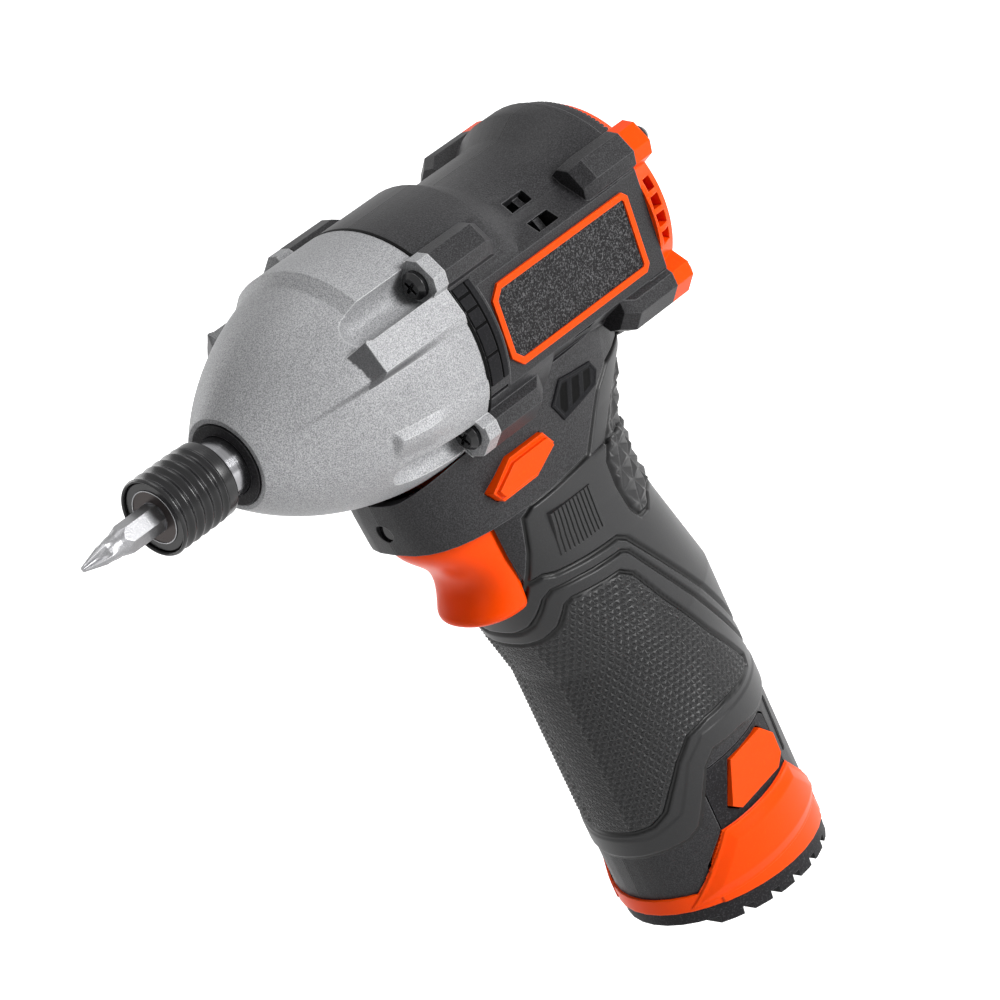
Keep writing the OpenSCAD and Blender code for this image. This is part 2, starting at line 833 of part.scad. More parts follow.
// Places a front view, its X to the left, its Y up and its Z towards the bit
module facing(x = 0) {
  translate([flange_x + x, 0, axis_h]) rotate([90, 0, 90]) children();
}

// Places a side view, its X towards the bit and its Y up, extruded to the right of y
module side_on(y) {
  translate([flange_x, y, axis_h]) rotate([90, 0, 0]) children();
}

// Places a shape on the leaning handle, its Z up along the handle
module on_handle(z = 0) {
  rotate([0, handle_rake, 0]) translate([0, 0, z]) children();
}

// Places a side view on the leaning handle, extruded to the right of y
module handle_side(y) {
  rotate([0, handle_rake, 0]) translate([0, y, 0]) rotate([90, 0, 0]) children();
}

module spun(points) {
  rotate_extrude() polygon(points);
}

module tube(outer, inner, len) {
  spun([[inner, 0], [outer, 0], [outer, len], [inner, len]]);
}

// Drawing of a screw boss with its two outer corners cut
module block_drawing(angle, pcr, half, cut) {
  rotate(angle) translate([pcr, 0]) polygon([
    [-half, -half],
    [half - cut, -half],
    [half, cut - half],
    [half, half - cut],
    [half - cut, half],
    [-half, half],
  ]);
}

// Pan head screw, head up from the origin
module pan_screw(head_r, head_h, r, len) {
  difference() {
    spun([
      [0, -len],
      [r, -len],
      [r, 0],
      [head_r, 0],
      [head_r, head_h / 2],
      [head_r * 0.7, head_h],
      [0, head_h],
    ]);
    for (a = [0, 90])
      rotate(a) translate([-cross_l, -cross_w / 2, head_h - cross_d])
        cube([2 * cross_l, cross_w, cross_d + over]);
  }
}

// Gear case and nose
module case_rib(angles) {
  wall_r = (hammer_room_r + spigot_r) / 2;
  foot_x = plate_end + band_chamfer;
  for (a = [angles[0], 180 - angles[1]])
    facing() rotate(a) rotate_extrude(angle = angles[1] - angles[0]) polygon([
      [wall_r, 0],
      [case_r + plate_rise, 0],
      [case_r + plate_rise, plate_end],
      [wall_r, foot_x],
    ]);
}

module gear_case() {
  color(silver) difference() {
    union() {
      facing() spun(concat(
        [
          [ring_r, -spigot_len],
          [spigot_r, -spigot_len],
          [spigot_r, 0],
          [case_r, 0],
          [case_r, band_len],
        ],
        dome_points(0),
        [
          [bush_r, case_len],
          [bush_r, thrust_x],
          [anvil_room_r, thrust_x],
          [hammer_room_r, hammer_room_end],
          [hammer_room_r, ring_front],
          [ring_r, ring_front],
        ]
      ));
      for (a = four(boss_angle))
        facing() linear_extrude(boss_len) block_drawing(a, boss_pcr, boss_half, block_cut);
      case_rib(plate_angles);
      case_rib(rib_angles);
    }
    for (a = four(boss_angle))
      facing() rotate(a) translate([boss_pcr, 0, 0]) {
        spun([
          [0, seat_x],
          [channel_r, seat_x],
          [channel_r, channel_end],
          [channel_r * 0.7, channel_end + channel_r * 0.7],
          [0, channel_end + channel_r],
        ]);
        translate([0, 0, -over]) cylinder(r = screw_r + run_gap, h = boss_len + 2 * over);
      }
  }
}

module gear_case_screws() {
  color(black) for (a = four(boss_angle)) facing(seat_x) rotate(a) translate([boss_pcr, 0, 0])
    pan_screw(screw_head_r, screw_head_h, screw_r, screw_len);
}

module nose_seal() {
  color(black) facing(case_len - seal_len) tube(bush_r, anvil_r + 2 * run_gap, seal_len + seal_out);
}

module anvil_bush() {
  color(bronze) facing(thrust_x) tube(bush_r, anvil_r + run_gap, case_len - seal_len - thrust_x);
}

// Collet, anvil and bit
module anvil() {
  color(steel) difference() {
    union() {
      facing(anvil_x) intersection() {
        cylinder(r = jaw_r, h = thrust_x - slide_gap - anvil_x);
        translate([-arm_w / 2, -jaw_r, 0]) cube([arm_w, 2 * jaw_r, thrust_x - anvil_x]);
      }
      facing() spun([
        [0, anvil_x],
        [anvil_r, anvil_x],
        [anvil_r, anvil_step_x],
        [anvil_front_r, anvil_step_x],
        [anvil_front_r, anvil_end],
        [0, anvil_end],
      ]);
    }
    facing(anvil_x - over) cylinder(r = journal_r + run_gap, h = journal_len + over);
    facing(bit_x) linear_extrude(anvil_end - bit_x + over) polygon(hexagon(hex_af + hex_gap));
    facing(ball_lock_x) for (a = [0, 180]) rotate([0, 90, a])
      cylinder(r = ball_lock_r + run_gap, h = anvil_r + over);
  }
}

module driver_bit() {
  color(silver) facing() difference() {
    union() {
      intersection() {
        translate([0, 0, bit_x]) linear_extrude(bit_neck_x - bit_x) polygon(hexagon(hex_af));
        spun([
          [0, bit_x],
          [hex_af, bit_x],
          [hex_af, bit_hex_end - hex_af],
          [bit_neck_r, bit_neck_x],
          [0, bit_neck_x],
        ]);
      }
      spun([
        [0, bit_hex_end],
        [bit_neck_r, bit_hex_end],
        [bit_neck_r, bit_neck_x + bit_neck_r],
        [bit_tip_r, bit_end],
        [0, bit_end],
      ]);
    }
    for (a = [45 : 90 : 315])
      rotate(a) translate([bit_neck_r, 0, bit_neck_x])
        rotate([0, -atan2(bit_neck_r - bit_tip_r, bit_end - bit_neck_x), 0])
          cylinder(r = flute_r, h = bit_end - bit_hex_end);
  }
}

module lock_balls() {
  color(steel) for (s = [-1, 1])
    translate([flange_x + ball_lock_x, s * (anvil_r - ball_lock_r), axis_h])
      sphere(r = ball_lock_r, $fn = 24);
}

module retaining_ring() {
  color(silver) facing(anvil_step_x) tube(sleeve_room_r - 2 * run_gap, anvil_front_r, ring_clip_t);
}

ridge_run = sleeve_len - sleeve_plain;
ridge_steps = 6;
function ridge_points() = [
  for (i = [0 : ridge_count * ridge_steps])
    let (u = i / ridge_steps)
    [
      sleeve_r - ridge_depth * (1 - abs(sin(180 * u))),
      sleeve_x + sleeve_plain + ridge_run * u / ridge_count,
    ]
];

module collet_sleeve() {
  color(black) facing() spun(concat(
    [
      [anvil_r + run_gap, sleeve_x],
      [sleeve_r - ridge_depth / 2, sleeve_x],
      [sleeve_r, sleeve_x + ridge_depth / 2],
      [sleeve_r, sleeve_x + sleeve_plain - ridge_depth],
    ],
    ridge_points(),
    [
      [sleeve_room_r, sleeve_x + sleeve_len],
      [sleeve_room_r, sleeve_x + sleeve_land],
      [anvil_r + run_gap, sleeve_x + sleeve_land],
    ]
  ));
}

sleeve_spring_r = anvil_r + (sleeve_room_r - anvil_r) * 0.6;
sleeve_spring_len = anvil_step_x - sleeve_x - sleeve_land;
module sleeve_spring() {
  color(steel) facing(sleeve_x + sleeve_land)
    coil(sleeve_spring_r, sleeve_wire_r, sleeve_spring_len, sleeve_turns);
}

// Hammer and its spring
module hammer() {
  color(steel) difference() {
    union() {
      facing() spun([
        [shaft_r + run_gap, hammer_x],
        [spring_room_in, hammer_x],
        [spring_room_in, hammer_x + spring_room_len],
        [spring_room_out, hammer_x + spring_room_len],
        [spring_room_out, hammer_x],
        [hammer_r, hammer_x],
        [hammer_r, hammer_front],
        [shaft_r + run_gap, hammer_front],
      ]);
      facing(hammer_front - over) for (a = [-jaw_angle / 2, 180 - jaw_angle / 2]) rotate(a)
        rotate_extrude(angle = jaw_angle) polygon([
          [jaw_in_r, 0],
          [jaw_r, 0],
          [jaw_r, jaw_len + over],
          [jaw_in_r, jaw_len + over],
        ]);
    }
    facing(cam_ball_x) for (s = [-1, 1]) translate([0, s * cam_ball_pcr, 0])
      sphere(r = cam_ball_r + run_gap);
  }
}

module hammer_balls() {
  color(silver) facing(cam_ball_x) for (s = [-1, 1]) translate([0, s * cam_ball_pcr, 0])
    sphere(r = cam_ball_r);
}

hammer_spring_len = hammer_x + spring_room_len - carrier_x - washer_t;
module hammer_spring() {
  color(steel) facing(carrier_x + washer_t)
    coil(spring_mean_r, spring_wire_r, hammer_spring_len, spring_turns);
}

module spring_washer() {
  color(steel) facing(carrier_x) tube(spring_mean_r + 2 * spring_wire_r, shaft_r, washer_t);
}

// Gear train
module cam_shaft() {
  color(steel) difference() {
    union() {
      facing() spun([
        [0, carrier_x - carrier_t],
        [carrier_r, carrier_x - carrier_t],
        [carrier_r, carrier_x],
        [shaft_r, carrier_x],
        [shaft_r, cam_front],
        [journal_r, cam_front],
        [journal_r, cam_front + journal_len],
        [0, cam_front + journal_len],
      ]);
      facing(hub_x) tube(carrier_r, hub_bore_r, carrier_rear_t);
      facing(hub_x - hub_len) tube(hub_r, hub_bore_r, hub_len);
      facing(carrier_rear_x) for (a = [60, 180, 300]) rotate(a) translate([post_pcr, 0, 0])
        cylinder(r = post_r, h = planet_len + 2 * planet_play);
    }
    facing(cam_ball_x - hammer_travel) for (s = [-1, 1]) translate([0, s * cam_ball_pcr, 0]) {
      cylinder(r = cam_ball_r + run_gap, h = hammer_travel);
      sphere(r = cam_ball_r + run_gap);
      translate([0, 0, hammer_travel]) sphere(r = cam_ball_r + run_gap);
    }
    facing(hub_x - over) for (a = [0, 120, 240]) rotate(a) translate([planet_pcr, 0, 0])
      cylinder(r = planet_pin_r, h = carrier_x - hub_x + 2 * over);
  }
}

module planet_pins() {
  color(silver) facing(hub_x) for (a = [0, 120, 240]) rotate(a) translate([planet_pcr, 0, 0])
    cylinder(r = planet_pin_r, h = carrier_x - hub_x);
}

module planet(angle) {
  facing(planet_x) rotate(angle) translate([planet_pcr, 0, 0]) rotate(180 / planet_teeth)
    linear_extrude(planet_len) difference() {
      polygon(gear_points(
        planet_teeth, root_r(planet_teeth), tip_r(planet_teeth), backlash
      ));
      circle(r = planet_pin_r + run_gap);
    }
}

module planet_1() {
  color(steel) planet(0);
}

module planet_2() {
  color(steel) planet(120);
}

module planet_3() {
  color(steel) planet(240);
}

module ring_gear() {
  rp = pitch_r(ring_teeth);
  color(steel) facing(ring_x) linear_extrude(ring_len) difference() {
    circle(r = ring_r);
    rotate(180 / ring_teeth) polygon(gear_points(
      ring_teeth, rp - gear_m * addendum_share, rp + gear_m * dedendum_share, -backlash
    ));
  }
}

module sun_pinion() {
  color(steel) facing(planet_x) linear_extrude(planet_len) difference() {
    polygon(gear_points(sun_teeth, root_r(sun_teeth), tip_r(sun_teeth), backlash));
    circle(r = rotor_r);
  }
}

module gear_plate() {
  color(dark) facing() spun([
    [plate_recess_r, ring_x],
    [spigot_r, ring_x],
    [spigot_r, plate_x],
    [can_boss_r, plate_x],
    [can_boss_r, boss_x],
    [plate_hole_r, boss_x],
    [plate_hole_r, bearing_x],
    [bearing_r, bearing_x],
    [bearing_r, ring_x - plate_recess],
    [plate_recess_r, ring_x - plate_recess],
  ]);
}

module spindle_bearing() {
  color(silver) facing(bearing_x) tube(bearing_r, hub_r + run_gap, bearing_len);
}

// Motor
module motor_can() {
  color(steel) facing() spun([
    [rotor_bearing_r, boss_x],
    [can_boss_r, boss_x],
    [can_boss_r, plate_x],
    [can_r, plate_x],
    [can_r, can_end],
    [can_r - can_wall, can_end],
    [can_r - can_wall, plate_x - can_wall],
    [rotor_bearing_r, plate_x - can_wall],
  ]);
}

module motor_magnets() {
  color(black) facing(magnet_x) for (a = [-magnet_angle / 2, 180 - magnet_angle / 2]) rotate(a)
    rotate_extrude(angle = magnet_angle) polygon([
      [magnet_in_r, 0],
      [can_r - can_wall, 0],
      [can_r - can_wall, magnet_len],
      [magnet_in_r, magnet_len],
    ]);
}

end_room_r = can_r - can_wall * 2;
end_floor = end_cap_x + can_wall;
module motor_end_cap() {
  color(dark) facing() spun([
    [end_room_r, can_end],
    [can_r, can_end],
    [can_r, end_cap_x],
    [end_boss_r, end_cap_x],
    [end_boss_r, end_cap_x - end_boss_len],
    [rotor_bearing_r, end_cap_x - end_boss_len],
    [rotor_bearing_r, end_cap_x - end_boss_len + rotor_bearing_len],
    [rotor_r * 2, end_cap_x - end_boss_len + rotor_bearing_len],
    [rotor_r * 2, end_floor],
    [end_room_r, end_floor],
  ]);
}

module carbon_brushes() {
  color(black) facing(comm_x - comm_len / 2 - brush_w / 2) for (a = [90, 270]) rotate(a)
    translate([comm_r + run_gap, -brush_w / 2, 0]) cube([brush_out_r - comm_r, brush_w, brush_w]);
}

module rotor_bearings() {
  color(bronze) for (x = [plate_x - can_wall, end_cap_x - end_boss_len]) facing(x)
    tube(rotor_bearing_r, rotor_r + run_gap, rotor_bearing_len);
}

module rotor_shaft() {
  color(silver) facing(rotor_end) cylinder(r = rotor_r, h = planet_x + planet_len - rotor_end);
}

module armature_core() {
  color(steel) facing(core_x) linear_extrude(core_len) difference() {
    circle(r = core_r);
    circle(r = rotor_r);
    for (i = [0 : pole_count - 1])
      rotate(360 * i / pole_count) {
        translate([(core_hub_r + core_r) / 2, 0]) circle(r = slot_w * 1.6, $fn = 20);
        translate([(core_hub_r + core_r) / 2, -slot_w / 2]) square([core_r, slot_w]);
      }
  }
}

module end_windings() {
  color(copper) for (x = [core_x - coil_len, core_x + core_len]) facing(x) spun([
    [rotor_r, 0],
    [coil_r - coil_len / 3, 0],
    [coil_r, coil_len / 3],
    [coil_r, coil_len * 2 / 3],
    [coil_r - coil_len / 3, coil_len],
    [rotor_r, coil_len],
  ]);
}

module commutator() {
  color(copper) facing(comm_x - comm_len) difference() {
    tube(comm_r, rotor_r, comm_len);
    for (i = [0 : pole_count - 1])
      rotate(360 * i / pole_count) translate([comm_r * 0.8, -cross_w / 4, -over])
        cube([comm_r, cross_w / 2, comm_len + 2 * over]);
  }
}

module cooling_fan() {
  color(dark) facing(fan_x - fan_len) union() {
    tube(fan_r, rotor_r, fan_blade_t);
    tube(core_hub_r, rotor_r, fan_len);
    for (i = [0 : fan_count - 1])
      rotate(360 * i / fan_count) translate([core_hub_r - over, -fan_blade_t / 2, 0])
        cube([fan_r - core_hub_r + over - fan_blade_t, fan_blade_t, fan_len]);
  }
}

// Rings of the handle, neck and chin, drawn in by inset
function grip_ring(z, inset) = [
  for (p = oval(grip_a - inset, grip_b - inset, 2, slice_points))
    [
      p[0] * cos(handle_rake) + z * sin(handle_rake),
      p[1],
      z * cos(handle_rake) - p[0] * sin(handle_rake),
    ]
];
function level_ring(z, front, rear, width, power, inset) = [
  for (p = oval((front - rear) / 2 - inset, width - inset, power, slice_points))
    [flange_x + (front + rear) / 2 + p[0], p[1], axis_h + z]
];
function neck_ring(i, lift, inset) =
  level_ring(neck_zs[i] + lift, neck_fronts[i], neck_rears[i], neck_widths[i], neck_powers[i], inset);
function chin_ring(i, lift, inset) =
  level_ring(chin_zs[i] + lift, chin_fronts[i], chin_rears[i], chin_widths[i], chin_powers[i], inset);

// Outer form of the handle, whose inner form leaves a floor under the chin
module handle_form(inset) {
  last = len(neck_zs) - 1;
  skin(concat(
    [grip_ring(0, inset), grip_ring(grip_len, inset)],
    [for (i = [0 : last]) neck_ring(i, 0, inset)],
    [neck_ring(last, max(inset, 0) + over, inset + slide_gap)]
  ));
  skin([for (i = [0 : len(chin_zs) - 1]) chin_ring(i, inset / 2, inset)]);
}

module rubber_zone(grow) {
  intersection() {
    difference() {
      handle_form(-grow);
      handle_form(rubber_t);
    }
    side_on(barrel_r) linear_extrude(2 * barrel_r) polygon(concat(
      [for (i = [0 : len(rubber_foot_xs) - 1]) [rubber_foot_xs[i], rubber_foot_zs[i] - axis_h]],
      [for (i = [0 : len(rubber_xs) - 1]) [rubber_xs[i], rubber_zs[i]]]
    ));
  }
}

// Outer form of the barrel
module barrel_form() {
  difference() {
    union() {
      facing() spun([
        [0, -barrel_len],
        [barrel_r, -barrel_len],
        [barrel_r, rear_ring_len - barrel_len],
        [waist_r, rear_ring_len + ring_slope - barrel_len],
        [waist_r, -front_ring_len - ring_slope],
        [barrel_r, -front_ring_len],
        [barrel_r, 0],
        [0, 0],
      ]);
      facing(-barrel_len) linear_extrude(barrel_len - flat_x) polygon([
        [-flat_y, -flat_h],
        [-waist_r * 0.75, -waist_r * 0.66],
        [waist_r * 0.75, -waist_r * 0.66],
        [flat_y, -flat_h],
        [flat_y, flat_h],
        [waist_r * 0.75, waist_r * 0.66],
        [-waist_r * 0.75, waist_r * 0.66],
        [-flat_y, flat_h],
      ]);
    }
    for (y = [flat_y, -flat_y - barrel_r])
      translate([flange_x - barrel_len - over, y, axis_h - barrel_r])
        cube([barrel_len + over - flat_x, barrel_r, 2 * barrel_r]);
    for (s = [0, 180], i = [0 : notch_count])
      facing(-over - notch_band)
        rotate(s - notch_half_angle + 2 * notch_half_angle * i / notch_count - notch_gap_angle / 2)
          rotate_extrude(angle = notch_gap_angle) polygon([
            [barrel_r - notch_depth, 0],
            [barrel_r + over, 0],
            [barrel_r + over, notch_band],
            [barrel_r - notch_depth, notch_band],
          ]);
  }
  for (a = four(boss_angle))
    hull() {
      facing(ring_slope / 2 - front_block_len) linear_extrude(front_block_len - ring_slope / 2)
        block_drawing(a, boss_pcr, boss_half, block_cut);
      facing(-front_block_len) linear_extrude(slice)
        block_drawing(a, boss_pcr - boss_half / 2, boss_half, block_cut);
    }
  for (a = four(rear_boss_angle))
    hull() {
      facing(-barrel_len) linear_extrude(rear_block_len - ring_slope / 2)
        block_drawing(a, rear_boss_pcr, boss_half, block_cut);
      facing(rear_block_len - barrel_len - slice) linear_extrude(slice)
        block_drawing(a, rear_boss_pcr - boss_half / 2, boss_half, block_cut);
    }
}

// Outline of the label, drawn in by inset all round
function label_outline(inset) =
  let (
    front = label_x - inset,
    rear = label_back - barrel_len + inset,
    half = label_half - inset,
    c = label_cut - inset * (2 - sqrt(2)),
    d = label_cut / 2 - inset * (2 - sqrt(2))
  )
  [
    [front, half - c],
    [front - c, half],
    [rear + d, half],
    [rear, half - d],
    [rear, d - half],
    [rear + d, -half],
    [front - c, -half],
    [front, c - half],
  ];

// Lays an outline into the label pocket of one side, rising over the flat
module on_label(side, rise) {
  side_on(side > 0 ? flat_y + rise : label_pocket - flat_y) linear_extrude(label_pocket + rise)
    children();
}

module label_frame(side) {
  on_label(side, label_rise) difference() {
    polygon(label_outline(0));
    polygon(label_outline(label_band));
  }
}

module label_plate(side) {
  on_label(side, label_plate_rise) polygon(label_outline(label_band));
}

// Outline of the selector, grown by grow
function selector_outline(grow) = [
  [selector_x + selector_len / 2 + grow, selector_z - selector_h * 0.1],
  [selector_x + selector_len / 2 - selector_point * 0.3, selector_z - selector_h / 2 - grow],
  [selector_x - selector_len / 2 + selector_point, selector_z - selector_h / 2 - grow],
  [selector_x - selector_len / 2 - grow, selector_z + selector_h * 0.05],
  [selector_x - selector_len / 2 + selector_point * 0.3, selector_z + selector_h / 2 + grow],
  [selector_x + selector_len / 2 - selector_point, selector_z + selector_h / 2 + grow],
];

// Side view of the cut-out that the battery panel and button pad slide through
function pad_outline(grow) = [
  [panel_half - pad_rim + grow, pad_top + grow],
  [pad_rim - panel_half - grow, pad_top + grow],
  [-panel_half - grow, pad_top - pad_rim + grow],
  [-panel_half - grow, panel_top],
  [panel_half + grow, panel_top],
  [panel_half + grow, pad_top - pad_rim + grow],
];
function panel_outline(grow) = [
  [panel_half + grow, panel_top + grow],
  [-panel_half - grow, panel_top + grow],
  [-panel_foot_half - grow, grip_foot],
  [-panel_foot_half - grow, -grip_foot],
  [panel_foot_half + grow, -grip_foot],
  [panel_foot_half + grow, grip_foot],
];
function button_outline(grow) = [
  for (i = [0 : len(button_x_shares) - 1])
    [
      button_half * button_x_shares[i] + grow * sign(button_x_shares[i]),
      button_z + button_h * button_z_shares[i] + grow * (button_z_shares[i] > 0.5 ? 1 : -1),
    ]
];

// Openings that the housing and its rubber share
module trigger_opening() {
  rear = guide_rear - trigger_travel - over;
  translate([
    flange_x + rear,
    -trigger_b - slide_gap,
    axis_h + trigger_bottom - slide_gap,
  ])
  cube([
    trigger_flare - rear + 3 * over,
    2 * (trigger_b + slide_gap),
    trigger_h + 2 * slide_gap,
  ]);
}

module shell_head_holes() {
  for (i = [0 : len(shell_screw_xs) - 1])
    shell_screw_at(i) {
      translate([0, 0, shell_head_y])
        cylinder(r = shell_head_r + slide_gap, h = barrel_r, $fn = 24);
      translate([0, 0, shell_head_y - shell_screw_len])
        cylinder(r = shell_screw_r + run_gap, h = shell_screw_len + over, $fn = 20);
    }
}

// Full housing before it is split at the seam
module housing_form() {
  difference() {
    union() {
      barrel_form();
      handle_form(0);
    }
    facing() spun([
      [0, over],
      [gear_room_r, over],
      [gear_room_r, plate_x - run_gap],
      [motor_room_r, plate_x - run_gap],
      [motor_room_r, -barrel_len - over],
      [0, -barrel_len - over],
    ]);
    difference() {
      handle_form(grip_wall);
      facing(-barrel_len) difference() {
        cylinder(r = barrel_r, h = grip_wall);
        translate([0, 0, -over]) cylinder(r = motor_room_r, h = grip_wall + 2 * over);
      }
    }
    facing() spun(concat(
      [[0, 0], [case_r + chin_gap, 0], [case_r + chin_gap, band_len]],
      dome_points(chin_gap),
      [[0, case_len]]
    ));
    for (a = four(boss_angle))
      facing() linear_extrude(channel_end)
        block_drawing(a, boss_pcr, boss_half + chin_gap, block_cut);
    rubber_zone(over);
    trigger_opening();
    side_on(barrel_r) linear_extrude(2 * barrel_r) polygon(selector_outline(slide_gap));
    facing() translate([0, lamp_z, 0]) cylinder(r = lamp_r + run_gap, h = chin_fronts[2]);
    for (a = vent_angles, s = [0, 180])
      facing(vent_x - vent_len) rotate(s > 0 ? s - a : a) translate([0, -vent_h / 2, 0])
        cube([2 * barrel_r, vent_h, vent_len]);
    for (s = [-1, 1])
      on_label(s, over) polygon(label_outline(0));
    for (y = [barrel_r, -button_floor_y])
      handle_side(y) {
        linear_extrude(barrel_r - button_floor_y) polygon(panel_outline(battery_gap));
        linear_extrude(barrel_r - button_floor_y) polygon(pad_outline(battery_gap));
      }
    translate([-2 * barrel_r, -barrel_r, -barrel_r])
      cube([4 * barrel_r, 2 * barrel_r, barrel_r + grip_foot]);
    for (a = four(boss_angle))
      facing(boss_len - screw_len - over) rotate(a) translate([boss_pcr, 0, 0])
        cylinder(r = screw_r + run_gap, h = screw_len + over, $fn = 20);
    for (a = four(rear_boss_angle))
      facing(-barrel_len - over) rotate(a) translate([rear_screw_pcr, 0, 0])
        cylinder(r = screw_r + run_gap, h = screw_len - lug_len + 2 * over, $fn = 20);
    shell_head_holes();
  }
  for (x = motor_rib_xs)
    facing(x) tube(motor_room_r + over, can_r + run_gap, motor_rib_t);
  intersection() {
    handle_form(rubber_t);
    posts();
  }
}

// Ribs that hold the switch and posts for the clamshell screws
module posts() {
  for (s = [-1, 1])
    translate([
      flange_x + switch_x - switch_len / 2 - switch_rib,
      s > 0 ? switch_b : -shell_post_half,
      axis_h + switch_z - switch_rib,
    ])
    cube([2 * switch_rib, shell_post_half - switch_b, 2 * switch_rib]);
  for (i = [0 : len(shell_screw_xs) - 1])
    shell_screw_at(i) difference() {
      translate([0, 0, -shell_post_half])
        cylinder(r = shell_post_r, h = shell_post_half + shell_head_y, $fn = 24);
      translate([0, 0, shell_head_y - shell_screw_len])
        cylinder(r = shell_screw_r + run_gap, h = shell_screw_len + over, $fn = 20);
    }
}

// Places a clamshell screw, its head to the right
module shell_screw_at(i) {
  side_on(0) translate([shell_screw_xs[i], shell_screw_zs[i], 0]) children();
}

module half_space(y) {
  translate([-4 * barrel_r, y, -axis_h]) cube([8 * barrel_r, 4 * barrel_r, 3 * axis_h]);
}

module housing_left() {
  color(dark) intersection() {
    housing_form();
    half_space(0);
  }
}

module housing_right() {
  color(dark) intersection() {
    housing_form();
    half_space(-4 * barrel_r);
  }
}

// Rubber overmould, with the openings that it shares with the housing
module grip_form() {
  difference() {
    rubber_zone(0);
    for (y = [barrel_r, -button_floor_y])
      handle_side(y) linear_extrude(barrel_r - button_floor_y) polygon(pad_outline(battery_gap));
    shell_head_holes();
    trigger_opening();
  }
}

module grip_left() {
  color(soft) intersection() {
    grip_form();
    half_space(0);
  }
}

module grip_right() {
  color(soft) intersection() {
    grip_form();
    half_space(-4 * barrel_r);
  }
}

// Rear cap
module rear_cap() {
  rim = -barrel_len - cap_len;
  color(orange) difference() {
    union() {
      facing() spun([
        [0, -barrel_len],
        [cap_r, -barrel_len],
        [cap_rim_r, rim],
        [cap_rim_r * 0.8, rim - cap_dome * 0.6],
        [cap_rim_r * 0.4, rim - cap_dome],
        [0, rim - cap_dome],
      ]);
      for (a = four(rear_boss_angle))
        facing(-barrel_len - lug_len) linear_extrude(lug_len)
          block_drawing(a, rear_boss_pcr, boss_half, block_cut);
    }
    facing() spun([
      [0, over - barrel_len],
      [motor_room_r, over - barrel_len],
      [motor_room_r, rim + cap_wall],
      [cap_rim_r * 0.8 - cap_wall, rim - cap_dome * 0.6 + cap_wall],
      [0, rim - cap_dome + cap_wall],
    ]);
    for (s = [-1, 1])
      translate([
        flange_x + rim - cap_dome - over,
        s > 0 ? flat_y - run_gap : -flat_y - barrel_r,
        axis_h - flat_h,
      ])
      cube([cap_len + cap_dome + over - run_gap, barrel_r, 2 * flat_h]);
    for (a = cap_vent_angles, s = [0, 180])
      facing(-barrel_len - cap_len / 2 - cap_vent / 2) rotate(s > 0 ? s - a : a)
        translate([cap_rim_r - 2 * cap_wall - over, -cap_vent / 2, 0])
          cube([barrel_r, cap_vent, cap_vent]);
    for (a = four(rear_boss_angle))
      facing(-barrel_len - lug_len - over) rotate(a) translate([rear_screw_pcr, 0, 0])
        cylinder(r = screw_r + run_gap, h = lug_len + 2 * over);
  }
}

module rear_cap_screws() {
  color(black) for (a = four(rear_boss_angle)) facing(-barrel_len - lug_len) rotate(a)
    translate([rear_screw_pcr, 0, 0]) rotate([180, 0, 0])
      pan_screw(rear_head_r, screw_head_h, screw_r, screw_len);
}

// Labels
module label_frame_left() {
  color(orange) label_frame(1);
}

module label_frame_right() {
  color(orange) label_frame(-1);
}

module label_plate_left() {
  color(black) label_plate(1);
}

module label_plate_right() {
  color(black) label_plate(-1);
}

// Controls
function trigger_side() = [
  [trigger_rear, trigger_top],
  [trigger_flare, trigger_top],
  [trigger_flare - over / 2, trigger_top - trigger_h * 0.05],
  [trigger_scoop + (trigger_flare - trigger_scoop) * 0.55, trigger_top - trigger_h * 0.13],
  [trigger_scoop + (trigger_flare - trigger_scoop) * 0.25, trigger_top - trigger_h * 0.25],
  [trigger_scoop, trigger_top - trigger_h * 0.45],
  [trigger_scoop + (trigger_lip - trigger_scoop) * 0.15, trigger_top - trigger_h * 0.6],
  [trigger_scoop + (trigger_lip - trigger_scoop) * 0.75, trigger_top - trigger_h * 0.72],
  [trigger_lip, trigger_top - trigger_h * 0.82],
  [trigger_lip * 0.9, trigger_top - trigger_h * 0.92],
  [trigger_lip * 0.65, trigger_top - trigger_h * 0.98],
  [trigger_lip * 0.4, trigger_bottom],
  [trigger_rear, trigger_bottom],
];

module trigger() {
  color(orange) union() {
    intersection() {
      side_on(trigger_b) linear_extrude(2 * trigger_b) polygon(trigger_side());
      translate([flange_x, 0, axis_h + trigger_bottom]) linear_extrude(trigger_h)
        polygon(oval(trigger_flare + over / 2, trigger_b, 2.6, 48));
    }
    facing(guide_rear) translate([-trigger_guide / 2, switch_z - trigger_guide / 2, 0])
      cube([trigger_guide, trigger_guide, trigger_guide_len + over]);
  }
}

module switch_rod() {
  color(steel) facing(switch_x - rod_r) translate([0, switch_z, 0])
    cylinder(r = rod_r, h = guide_rear - switch_x + rod_r);
}

module trigger_switch() {
  color(black) difference() {
    translate([flange_x + switch_x - switch_len, -switch_b, axis_h + switch_z - switch_h / 2])
      cube([switch_len, 2 * switch_b, switch_h]);
    facing(switch_x - rod_r - trigger_travel - over) translate([0, switch_z, 0])
      cylinder(r = rod_r + run_gap, h = trigger_travel + rod_r + 2 * over);
  }
}

module selector() {
  color(orange) union() {
    side_on(selector_half - selector_bevel) linear_extrude(2 * (selector_half - selector_bevel))
      polygon(selector_outline(0));
    for (s = [-1, 1])
      side_on(s > 0 ? selector_half : selector_bevel - selector_half) linear_extrude(selector_bevel)
        polygon(selector_outline(-selector_bevel));
    translate([
      flange_x + switch_x - 2 * selector_tail,
      -selector_tail,
      axis_h + switch_z + switch_h / 2 + slide_gap,
    ])
    cube([2 * selector_tail, 2 * selector_tail, selector_z - switch_z - switch_h / 2]);
  }
}

